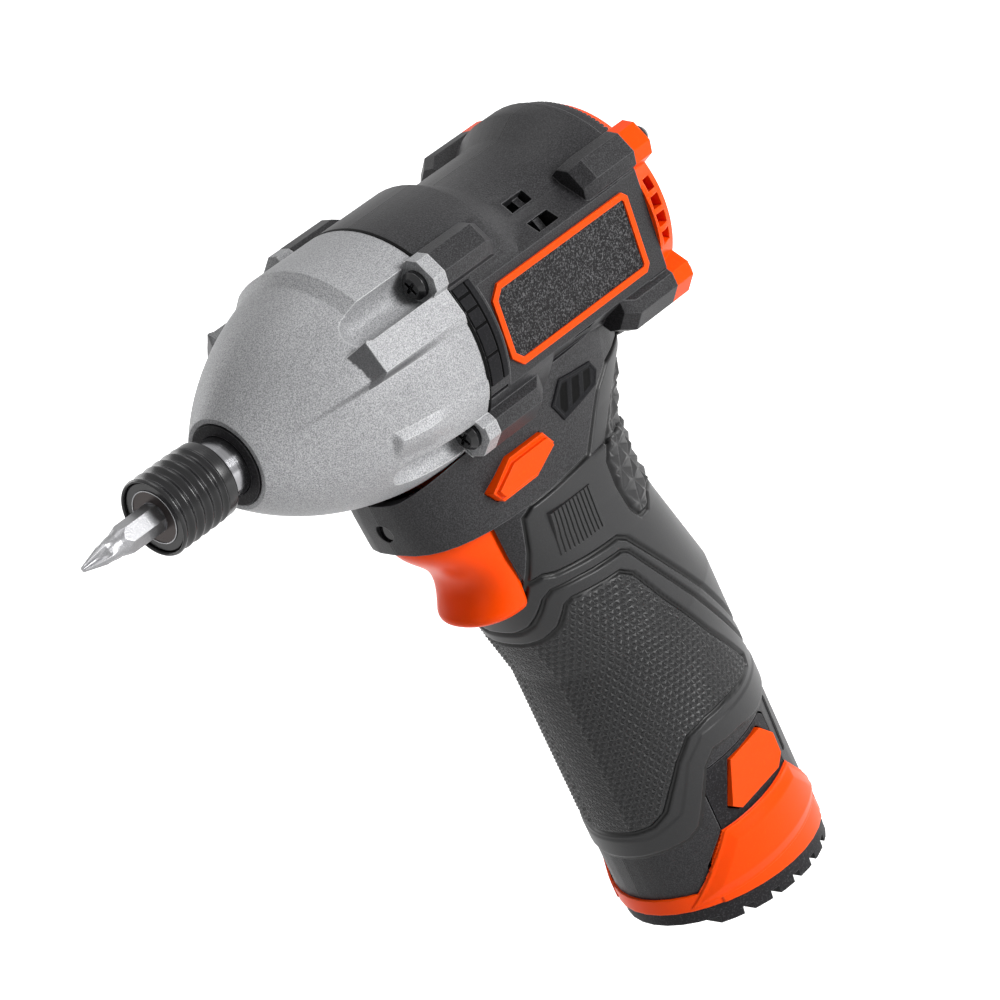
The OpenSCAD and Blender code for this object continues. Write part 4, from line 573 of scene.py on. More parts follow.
def raked(x: Array, y: Array, height: Array | float) -> Array:
    """Points of the raked handle: x and y across its axis, height along it from the frame's origin."""
    forward = x * math.cos(RAKE) + height * math.sin(RAKE) - FLANGE[0]
    return np.stack([forward, y, height * math.cos(RAKE) - x * math.sin(RAKE) - FLANGE[2]], -1)


def corner_field(*corners: Pair) -> Any:
    """A dataclass field that holds the corners of an outline."""
    return field(default_factory=lambda: np.array(corners, float))


def revolved(name: str, profile: Array, body: str, count: int = 144) -> bpy.types.Object:
    """Turns a closed profile of x and radius round the spindle axis.

    Args:
        name: the piece's name.
        profile: (n, 2) points, each a distance along x and a radius.
        body: the body it moves with.
        count: points round.

    Returns:
        The piece.
    """
    angle = np.linspace(0, 2 * np.pi, count, endpoint=False)
    return surface(name, around_spindle(profile[:, :1], profile[:, 1:], angle), body, (True, True))


def line_distance(x: Array, z: Array, line: Array) -> Array:
    """Least distance from points to a line of straight runs.

    Args:
        x: first coordinates.
        z: second coordinates, of the same shape.
        line: (n, 2) corners.

    Returns:
        The distances.
    """
    starts, runs = line[:-1], np.diff(line, axis=0)
    dx, dz = x[..., None] - starts[:, 0], z[..., None] - starts[:, 1]
    share = np.clip((dx * runs[:, 0] + dz * runs[:, 1]) / (runs ** 2).sum(1), 0, 1)
    return np.hypot(dx - share * runs[:, 0], dz - share * runs[:, 1]).min(-1)


def inside(x: Array, z: Array, outline: Array) -> Array:
    """Distance to a closed outline, positive inside it.

    Args:
        x: first coordinates.
        z: second coordinates.
        outline: (n, 2) corners.

    Returns:
        The signed distance: the sign comes from how often a level ray crosses the sides.
    """
    loop = np.vstack([outline, outline[:1]])
    (x0, z0), (x1, z1) = loop[:-1].T, loop[1:].T
    crosses = (z0 > z[..., None]) != (z1 > z[..., None])
    at = x0 + (z[..., None] - z0) * (x1 - x0) / np.where(z1 == z0, 1.0, z1 - z0)
    odd = (crosses & (x[..., None] < at)).sum(-1) % 2 == 1
    return np.where(odd, 1.0, -1.0) * line_distance(x, z, loop)


def step(value: Array, lo: float, hi: float) -> Array:
    """Smooth step from 0 at lo to 1 at hi."""
    t = np.clip((value - lo) / (hi - lo), 0, 1)
    return t * t * (3 - 2 * t)


def welded(node: str) -> tuple[Array, Array]:
    """Welds a CAD node's loose triangles by rounding their corners to a ten-thousandth of a millimetre.

    Args:
        node: the CAD node.

    Returns:
        Points in millimetres from the flange, and (m, 3) corners.
    """
    mesh = frame["nodes"][node].data
    spots = np.empty(len(mesh.vertices) * 3)
    mesh.vertices.foreach_get("co", spots)
    corners = np.empty(len(mesh.loops), np.int32)
    mesh.loops.foreach_get("vertex_index", corners)
    spots = spots.reshape(-1, 3) / MM
    _, first, place = np.unique(np.round(spots, 4), axis=0, return_index=True, return_inverse=True)
    faces = place.reshape(-1)[corners].reshape(-1, 3)
    whole = (faces != np.roll(faces, 1, axis=1)).all(axis=1)
    return spots[first] - FLANGE, faces[whole]


@dataclass
class Copies:
    """CAD nodes whose shape is right, welded, smoothed and dressed."""

    palette: Palette
    finish_of: dict[str, str]

    def build(self) -> None:
        """Copies each node, dresses the copy and lets it stand for the node."""
        for node, finish in self.finish_of.items():
            self._copy(node, finish)

    def _copy(self, node: str, finish: str) -> None:
        """Makes the copy that stands for a node.

        Args:
            node: the CAD node.
            finish: the finish's name.
        """
        points, faces = welded(node)
        piece = put(f"{node}_skin", points, faces, frame["nodes"][node]["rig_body"])
        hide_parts(node)
        self.palette.dress(piece, finish)


@dataclass
class Springs:
    """The coil springs, each the part of its coil on its seat's side, carried by its joint's parent."""

    palette: Palette
    finish: str = "turned_steel"
    names: dict[str, str] = field(default_factory=lambda: {
        "hammer_slide": "hammer_spring_coil", "sleeve_slide": "sleeve_spring_coil",
        "release_left_press": "release_spring_left", "release_right_press": "release_spring_right"})

    def build(self) -> None:
        """Makes a spring for each joint whose record names a node that gives way."""
        for row in frame["record"]["behaviour"]["joints"]:
            for given in row.get("deforming_nodes", ()):
                self._spring(row, given)

    def _spring(self, row: dict[str, Any], given: dict[str, Any]) -> None:
        """Copies the part of a spring on its seat's side and seats it on the joint's parent.

        Args:
            row: the joint's record.
            given: the node that gives way, the axis it shortens along and where its seat is.
        """
        letter = given["mode"][-1]
        axis = np.eye(3)["xyz".index(letter)]
        seat = given[f"fixed_end_{letter}_m"] / MM
        points, faces = welded(given["node"])
        along = (points + FLANGE) @ axis
        near = along[faces].mean(axis=1) * np.sign(seat) > 0
        used, corners = np.unique(faces[near], return_inverse=True)
        piece = put(self.names[row["name"]], points[used], corners.reshape(-1, 3), row["parent"])
        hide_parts(given["node"])
        self.palette.dress(piece, self.finish)
        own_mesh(piece)


@dataclass
class Handle:
    """The handle's skin: ovals on the raked axis below, level rounded rings at the neck and chin above."""

    half_long: float = 28.6
    half_wide: float = 23.4
    straight: float = 81.0
    neck_z: tuple[float, ...] = (-66.0, -56.0, -44.4)
    neck_front: tuple[float, ...] = (0.5, 2.5, 4.0)
    neck_rear: tuple[float, ...] = (-57.0, -53.0, -52.2)
    neck_wide: tuple[float, ...] = (21.2, 20.4, 20.0)
    neck_power: tuple[float, ...] = (2.3, 2.6, 2.8)
    chin_z: tuple[float, ...] = (-44.4, -36.0, -28.0, -18.0)
    chin_front: tuple[float, ...] = (18.2, 20.0, 21.2, 21.6)
    chin_rear: tuple[float, ...] = (-52.2, -56.0, -61.0, -64.0)
    chin_wide: tuple[float, ...] = (20.0, 20.0, 20.4, 20.8)

    @staticmethod
    def oval(long: float, wide: float, power: float, angle: Array) -> tuple[Array, Array]:
        """Rounded rectangle by angle: each half length times the cosine or sine to the power 2 over power."""
        c, s = np.cos(angle), np.sin(angle)
        return long * np.sign(c) * np.abs(c) ** (2 / power), wide * np.sign(s) * np.abs(s) ** (2 / power)

    def _straight(self, height: float, angle: Array) -> Array:
        """A ring of the raked part, height along its axis."""
        return raked(*self.oval(self.half_long, self.half_wide, 2.0, angle), height)

    def _neck(self, place: int, angle: Array) -> Array:
        """A level ring of the neck.

        Args:
            place: which of the neck's rings.
            angle: radians round it, 0 in front.

        Returns:
            Its points.
        """
        front, rear = self.neck_front[place], self.neck_rear[place]
        x, y = self.oval((front - rear) / 2, self.neck_wide[place], self.neck_power[place], angle)
        return np.stack([x + (front + rear) / 2, y, np.full_like(x, self.neck_z[place])], -1)

    def _chin(self, z: Array, angle: Array) -> Array:
        """Level rings above the neck, whose points keep their share of the way from the rear.

        Args:
            z: heights.
            angle: radians, 0 in front.

        Returns:
            The points of each ring.
        """
        parts = (self.chin_front, self.chin_rear, self.chin_wide)
        front, rear, wide = (np.interp(z, self.chin_z, part)[:, None] for part in parts)
        last = self._neck(-1, angle)[:, 0]
        share = (last - self.neck_rear[-1]) / (self.neck_front[-1] - self.neck_rear[-1])
        x = rear + share * (self.neck_front[-1] - rear)
        power = self.neck_power[-1]
        away = np.abs((x - (front + rear) / 2) / ((front - rear) / 2))
        y = wide * np.clip(1 - away ** power, 0, 1) ** (1 / power) * np.sign(np.sin(angle))
        return np.stack([x, y, z[:, None] + 0 * x], -1)

    def points(self, heights: Array, angle: Array) -> Array:
        """The skin over heights along the handle's axis and angles round it, 0 in front.

        Args:
            heights: increasing, in millimetres along the axis from the frame's origin.
            angle: radians.

        Returns:
            (heights, angles, 3) points: straight runs between neighbouring rings.
        """
        stations = np.array([0.0, self.straight, *((FLANGE[2] + np.array(self.neck_z)) / math.cos(RAKE))])
        rings = np.stack([
            self._straight(0.0, angle), self._straight(self.straight, angle),
            *(self._neck(place, angle) for place in range(len(self.neck_z))),
        ])
        low = heights[heights <= stations[-1]]
        high = heights[heights > stations[-1]]
        place = np.clip(np.searchsorted(stations, low, side="right") - 1, 0, len(stations) - 2)
        share = ((low - stations[place]) / (stations[place + 1] - stations[place]))[:, None, None]
        lower = (1 - share) * rings[place] + share * rings[place + 1]
        return np.concatenate([lower, self._chin(high * math.cos(RAKE) - FLANGE[2], angle)])

    def side(self, x: Array, z: Array) -> Array:
        """How far out the side lies at a place on the neck or chin.

        Args:
            x: places along the spindle.
            z: heights, above the raked part.

        Returns:
            The half width there.
        """
        level = (*self.neck_z, *self.chin_z[1:])
        front = np.interp(z, level, (*self.neck_front[:-1], *self.chin_front))
        rear = np.interp(z, level, (*self.neck_rear, *self.chin_rear[1:]))
        wide = np.interp(z, level, (*self.neck_wide, *self.chin_wide[1:]))
        same = [self.neck_power[-1]] * (len(self.chin_z) - 1)
        power = np.interp(z, level, (*self.neck_power, *same))
        away = np.clip(np.abs((x - (front + rear) / 2) / ((front - rear) / 2)), 0, 1)
        return wide * (1 - away ** power) ** (1 / power)


def normals(points: Array) -> Array:
    """Unit normals of a grid of points, from the cross product of its two directions."""
    out = np.cross(np.gradient(points, axis=1), np.gradient(points, axis=0))
    return out / np.maximum(np.linalg.norm(out, axis=-1, keepdims=True), 1e-9)


@dataclass
class Grip:
    """Rubber over the handle: grooves, raised bands, a field of small pyramids and a thumb rest.

    Each outline lies in the side view, as x and z. A pair named edge, rim or share is where a step starts
    and ends, and a span is heights along the handle.
    """

    palette: Palette
    handle: Handle
    pitch: float = 0.3
    span: Pair = (20.0, 150.0)
    sharp: float = 80.0
    proud: float = 0.3
    groove_deep: float = 0.9
    groove_halves: tuple[float, ...] = (0.55, 0.55, 0.7, 0.6, 0.6)
    trough_share: Pair = (0.25, 1.45)
    painted_groove_share: Pair = (0.75, 1.2)
    rim_in: float = 0.35
    pyramid: float = 1.7
    pyramid_high: float = 0.52
    plain_front: float = 5.0
    plain_fade: float = 1.5
    leather: float = 1.25
    leather_high: float = 0.13
    leather_sway: Pair = (1.3, 1.1)
    leather_beat: Pair = (0.61, 0.77)
    thumb_pyramid: float = 5.2
    thumb_high: float = 1.0
    thumb_edge: Pair = (0.4, 1.6)
    field_pitch: float = 0.2
    field_span: Pair = (26.0, 104.0)
    field_arc: float = 2.6
    field_sharp: float = 22.0
    field_edge: Pair = (0.5, 1.2)
    field_rim: Pair = (0.3, 0.9)
    field_sunk: float = 0.25
    field_from: float = 0.45
    rubber_to: float = 0.95
    zone_from: float = -2.5
    recess_edge: Pair = (0.2, 1.0)
    bare_lift: float = 0.3
    bare_least: float = 0.08
    deepest: float = 2.0
    sunk: float = 1.0
    recess: Array = corner_field(
        (10, -143), (-18, -143.5), (-24, -139), (-28, -127), (-33, -122), (-60, -120), (-80, -118), (-80, 0),
        (10, 0))
    zone: Array = corner_field(
        (10, -149.3), (-15.7, -149.1), (-21, -147.6), (-24.2, -146.6), (-26.8, -144.2), (-29.1, -137.9),
        (-31.9, -130), (-34.8, -127.2), (-43.7, -127.1), (-53.9, -128), (-60.9, -126.9), (-80, -123),
        (-80, -25), (-56, -25), (-46, -27), (-40, -31), (-30, -43), (-9, -45), (-6, -47), (-5, -56),
        (-3, -68), (2, -69))
    texture: Array = corner_field(
        (12, -82.5), (-5.3, -82.1), (-7.2, -80.9), (-9.3, -78.1), (-10.9, -72.9), (-12.4, -72), (-26, -72.4),
        (-29.5, -74.9), (-35.2, -84.4), (-45.6, -99.8), (-57.6, -114.6), (-57, -116.8), (-50.5, -117.8),
        (-43, -117.8), (-35.5, -118.4), (-29.4, -120.3), (-25.5, -125.6), (-22.5, -132.3), (-20.7, -137.1),
        (-18.3, -140.1), (-16, -141.2), (12, -141.6))
    second: Array = corner_field(
        (12, -79), (-4.1, -78.2), (-5.2, -76.3), (-6.1, -72.9), (-6.9, -69.6), (-8.4, -67.9), (-15, -67.8),
        (-28.4, -68.3), (-30.8, -69.6), (-36.7, -78), (-49.2, -95.6), (-62.3, -113.1), (-75, -128))
    outer: Array = corner_field(
        (-3, -64.5), (-7.2, -63.3), (-10, -64.1), (-29, -65), (-31.9, -66.8), (-43.9, -82.5), (-62.9, -108.2),
        (-75, -124))
    thumb: Array = corner_field(
        (-54, -29.5), (-45.1, -37), (-37.5, -44.5), (-35.2, -48), (-35.4, -54.6), (-36.9, -61.5),
        (-39.4, -64.8), (-43, -65), (-46.5, -62), (-58, -62), (-66, -45))

    def relief(self, points: Array) -> tuple[Array, Array, Array, Array]:
        """How far the rubber stands from the skin.

        The height is the proud level, less a rounded trough along each groove, plus pyramids inside the
        texture outline: the least distance to three families of lines at 60 degrees, times a slope. Past the
        housing's recess the rubber lies on the housing, so no trough goes under the skin. Outside the
        rubber's zone it dips under the housing.

        Args:
            points: the skin.

        Returns:
            The height, how much painted shade each point gets in a groove, and how far inside the zone and
            the texture it is.
        """
        x, z = points[..., 0], points[..., 2]
        zone = inside(x, z, self.zone)
        texture = inside(x, z, self.texture)
        runs = np.linalg.norm(np.diff(points, axis=1), axis=-1)
        around = np.concatenate([np.zeros_like(x[:, :1]), np.cumsum(runs, axis=1)], axis=1)
        height = np.full_like(x, self.proud)
        sides = step(around, self.plain_front, self.plain_front + self.plain_fade)
        field_in = step(texture, *self.field_edge)
        height += self._pyramids(around, z, self.pyramid) * self.pyramid_high * field_in * sides
        height += self._leather(around, z) * field_in * (1 - sides)
        height -= self.field_sunk * step(texture, *self.field_rim)
        thumb = inside(x, z, self.thumb)
        rest = self._pyramids(around, z, self.thumb_pyramid) * self.thumb_high
        height += rest * step(thumb, *self.thumb_edge)
        grooves = (
            np.abs(texture), line_distance(x, z, self.second), line_distance(x, z, self.outer), np.abs(thumb),
            np.abs(zone - self.rim_in),
        )
        deep, painted_groove_shade = np.zeros_like(x), np.zeros_like(x)
        for distance, half in zip(grooves, self.groove_halves):
            deep = np.maximum(deep, 1 - step(distance, *(half * share for share in self.trough_share)))
            # The second mask is painted shade: a dark core along each groove, wider than its trough.
            painted_groove_shade = np.maximum(painted_groove_shade, 1 - step(distance, *(half * share for share in self.painted_groove_share)))
        height -= deep * self.groove_deep
        bare = 1 - step(inside(x, z, self.recess), *self.recess_edge)
        least = self.bare_least * bare - self.deepest * (1 - bare)
        height = np.maximum(height + self.bare_lift * bare, least)
        buried = 1 - step(zone, -self.rim_in, 0.0)
        height = height * (1 - buried) - self.sunk * buried
        return height, painted_groove_shade, zone, texture

    def _leather(self, u: Array, v: Array) -> Array:
        """Fine uneven grain: the product of two sines, each of which sways with the other's coordinate.

        Args:
            u: distance round the handle.
            v: height.

        Returns:
            How far the grain stands out.
        """
        a, b = 2 * np.pi * u / self.leather, 2 * np.pi * v / self.leather
        first = np.sin(a + self.leather_sway[0] * np.sin(self.leather_beat[0] * b))
        return self.leather_high * first * np.sin(b + self.leather_sway[1] * np.sin(self.leather_beat[1] * a))

    @staticmethod
    def _pyramids(u: Array, v: Array, pitch: float) -> Array:
        """Three-sided pyramids from 0 to 1: least distance to lines at 0, 60 and 120 degrees, over a third.

        Args:
            u: distance round the handle.
            v: height.
            pitch: spacing of the lines.

        Returns:
            The height.
        """
        families = [(0.0, 1.0), (math.sqrt(0.75), 0.5), (math.sqrt(0.75), -0.5)]
        waves = np.stack([(u * a + v * b) / pitch for a, b in families])
        away = np.abs(waves - np.round(waves))
        return np.minimum(away.min(0) * 3.0, 1.0)

    def build(self) -> None:
        """Makes the left and the right rubber, each with a finer piece for its field of pyramids."""
        for side, sign in SIDES:
            self._half(side, sign, False)
            self._half(side, sign, True)

    def _half(self, side: str, sign: int, fine: bool) -> None:
        """Makes one rubber piece: the skin moved along its normals by the relief.

        Args:
            side: left or right.
            sign: 1 on the left, -1 on the right.
            fine: True for the field of pyramids, False for the rest.
        """
        pitch, span, arc, sharp = self.pitch, self.span, math.pi, self.sharp
        if fine:
            pitch, span, arc, sharp = self.field_pitch, self.field_span, self.field_arc, self.field_sharp
        reach = (self.handle.half_long + self.handle.half_wide) / 2
        skin = self.handle.points(np.arange(*span, pitch), np.linspace(0.0, arc, int(arc * reach / pitch)))
        height, painted_groove_shade, zone, texture = self.relief(skin)
        keep = texture > self.field_from if fine else (zone > self.zone_from) & (texture < self.rubber_to)
        points = skin + normals(skin) * height[..., None]
        points[..., 1] *= sign
        name = f"grip_{side}_{'field' if fine else 'rubber'}"
        # The groove values are painted shade along the grooves.
        piece = surface(
            name, points[:, ::sign], "housing", keep=keep[:, ::sign], groove=painted_groove_shade[:, ::sign], sharp=sharp
        )
        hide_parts(f"grip_{side}")
        self.palette.dress(piece, "soft_rubber")


@dataclass
class SidePanels:
    """Small moulded panels on both sides: ribs in the rubber, an outlet, blocks at the flange and a slot.

    A pair named rim, trough, inset, half or edge is where a step starts and ends. A grid is how many points
    a panel has each way.
    """

    palette: Palette
    handle: Handle
    rim: Pair = (0.0, 0.35)
    rib_box: tuple[float, float, float, float] = (-26.9, -11.9, -60.6, -48.9)
    rib_grid: tuple[int, int] = (221, 60)
    ribs: int = 11
    rib_trough: Pair = (0.62, 0.9)
    rib_inset: Pair = (0.1, 0.6)
    rib_high: float = 0.7
    rib_deep: float = 0.27
    rib_drop: float = 1.2
    barrel: float = 30.0
    ladder_x: tuple[float, float, float] = (-7.3, -5.1, -0.9)
    ladder_lift: Pair = (-18.5, 30.0)
    ladder_grid: tuple[int, int] = (80, 260)
    rungs: tuple[float, ...] = (24.5, 18.0, 10.0, -3.8)
    rung_half: Pair = (0.2, 0.42)
    rung_fade: float = 0.2
    line_half: Pair = (0.15, 0.35)
    ladder_high: float = 0.45
    ladder_deep: float = 0.4
    ladder_drop: float = 0.9
    slot: tuple[Pair, Pair] = ((-59.9, -127.6), (-60.4, -143.0))
    slot_grid: tuple[int, int] = (60, 13)
    slot_turns: int = 721
    slot_half: float = 0.7
    slot_lean: float = -2.0
    slot_end: int = 2
    dark_share: float = 0.7
    lip_share: float = 0.98
    lip_high: float = 0.42
    dark_deep: float = 0.06
    slot_sunk: float = 0.3
    grille: Array = corner_field((-23, -27), (-28, -22), (-40, -23.6), (-42, -27), (-40, -30.5), (-26, -32.5))
    grille_grid: tuple[int, int] = (200, 130)
    grille_margin: float = 1.0
    grille_edge: Pair = (0.0, 0.5)
    grille_high: float = 1.0
    grille_sunk: float = 0.6
    panel_edge: Pair = (0.9, 1.3)
    panel_deep: float = 0.25
    bars: int = 3
    bar_from: Pair = (-39.5, -27.0)
    bar_lean: float = 0.35
    bar_pitch: float = 4.6
    bar_edge: Pair = (0.14, 0.24)
    bar_inset: Pair = (1.5, 1.9)
    bar_deep: float = 0.1

    def build(self) -> None:
        """Makes the four panels on both sides."""
        for side, sign in SIDES:
            self._ribs(side, sign)
            self._grille(side, sign)
            self._ladder(side, sign)
            self._slot(side, sign)

    def _place(self, name: str, x: Array, z: Array, rise: Array, sign: int, deep: Array) -> bpy.types.Object:
        """Lays a patch on the side: the half width there plus a rise.

        Args:
            name: the piece's name.
            x: grid of places along the spindle.
            z: grid of heights.
            rise: how far each point stands off the skin.
            sign: 1 on the left, -1 on the right.
            deep: how much painted shade each point gets, in a groove or slot.

        Returns:
            The piece.
        """
        points = np.stack([x, sign * (self.handle.side(x, z) + rise), z], -1)
        return surface(name, points[:, ::-sign], "housing", groove=deep[:, ::-sign])

    def _ribs(self, side: str, sign: int) -> None:
        """Fine upright grooves: a cosine along x, cut to a narrow trough.

        Args:
            side: left or right.
            sign: 1 on the left, -1 on the right.
        """
        x0, x1, z0, z1 = self.rib_box
        x, z = np.meshgrid(np.linspace(x0, x1, self.rib_grid[0]), np.linspace(z0, z1, self.rib_grid[1]))
        wave = 0.5 - 0.5 * np.cos(2 * np.pi * self.ribs * (x - x0) / (x1 - x0))
        edge = np.minimum(np.minimum(x - x0, x1 - x), np.minimum(z - z0, z1 - z))
        line = step(1 - wave, *self.rib_trough) * step(edge, *self.rib_inset)
        rise = self.rib_high - self.rib_deep * line - self.rib_drop * (1 - step(edge, *self.rim))
        # The troughs between the ribs also get painted shade.
        piece = self._place(f"rib_panel_{side}", x, z, rise, sign, line)
        self.palette.dress(piece, "soft_rubber")

    def _ladder(self, side: str, sign: int) -> None:
        """Raised blocks behind the flange: a band round the barrel, less a trough along each line.

        Args:
            side: left or right.
            sign: 1 on the left, -1 on the right.
        """
        rear, line, front = self.ladder_x
        low, high = self.ladder_lift
        rows, columns = self.ladder_grid
        x, lift = np.meshgrid(np.linspace(rear, front, rows), np.linspace(low, high, columns), indexing="ij")
        round_mm = self.barrel * np.radians(1.0)
        gap = np.abs(lift[..., None] - np.array(self.rungs)).min(-1) * round_mm
        rung = (1 - step(gap, *self.rung_half)) * step(x, line, line + self.rung_fade)
        deep = np.maximum(rung, 1 - step(np.abs(x - line), *self.line_half))
        edge = np.minimum.reduce([x - rear, front - x, (lift - low) * round_mm, (high - lift) * round_mm])
        drop = self.ladder_drop * (1 - step(edge, *self.rim))
        r = self.barrel + self.ladder_high - self.ladder_deep * deep - drop
        points = np.stack([x, sign * r * np.cos(np.radians(lift)), r * np.sin(np.radians(lift))], -1)
        # The troughs along the rungs and the line get painted shade.
        piece = surface(f"flange_blocks_{side}", points[:, ::sign], "housing", groove=deep[:, ::sign])
        self.palette.dress(piece, "outlet_black")

    def _slot(self, side: str, sign: int) -> None:
        """An upright slot behind the release button: a strip of the skin along a line, with painted shade
        between low lips.

        Args:
            side: left or right.
            sign: 1 on the left, -1 on the right.
        """
        (x0, z0), (x1, z1) = self.slot
        rows, columns = self.slot_grid
        heights = (np.linspace(z1, z0, rows) + FLANGE[2]) / math.cos(RAKE) + self.slot_lean
        x = np.linspace(x1, x0, rows) + FLANGE[0] - heights * math.sin(RAKE)
        across = np.linspace(-1.0, 1.0, columns) * self.slot_half
        turn = np.arccos(x / (self.handle.half_long * math.cos(RAKE)))
        wide = np.radians(np.linspace(90.0, 180.0, self.slot_turns))
        skin = self.handle.points(heights, wide)
        out = normals(skin)
        spacing = np.linalg.norm(np.diff(skin, axis=1), axis=-1).mean() / (wide[1] - wide[0])
        place = (turn[:, None] + across / spacing - wide[0]) / (wide[1] - wide[0])
        column = np.clip(np.round(place).astype(int), 0, len(wide) - 1)
        row = np.arange(rows)[:, None]
        end = np.minimum(row, row[::-1])
        middle = (np.abs(across) < self.dark_share * self.slot_half) * (end > self.slot_end) * 1.0
        lip = (np.abs(across) < self.lip_share * self.slot_half) * (end > 0) * 1.0
        rise = self.lip_high * lip - self.slot_sunk - self.dark_deep * middle
        points = skin[row, column] + out[row, column] * rise[..., None]
        points[..., 1] *= sign
        # The slot's middle is painted shade, sunk only a little.
        piece = surface(f"release_slot_{side}", points[:, ::sign], "housing", groove=middle[:, ::sign])
        self.palette.dress(piece, "outlet_black")

    def _grille(self, side: str, sign: int) -> None:
        """A low rim round an outline, with shallow slots between slanted bars, painted dark as shade.

        Args:
            side: left or right.
            sign: 1 on the left, -1 on the right.
        """
        low, high = self.grille.min(0) - self.grille_margin, self.grille.max(0) + self.grille_margin
        columns, rows = self.grille_grid
        x, z = np.meshgrid(np.linspace(low[0], high[0], columns), np.linspace(low[1], high[1], rows))
        depth = inside(x, z, self.grille)
        along = (x + self.bar_lean * (z - self.bar_from[1]) - self.bar_from[0]) / self.bar_pitch
        away = 0.5 - np.abs(along - np.floor(along) - 0.5)
        slot = step(away, *self.bar_edge) * step(depth, *self.bar_inset)
        slot = slot * (along > 0.0) * (along < self.bars)
        rise = self.grille_high * step(depth, *self.grille_edge) - self.grille_sunk
        rise = rise - self.panel_deep * step(depth, *self.panel_edge) - self.bar_deep * slot
        # The slots are painted shade.
        piece = self._place(f"outlet_panel_{side}", x, z, rise, sign, slot)
        self.palette.dress(piece, "outlet_black")


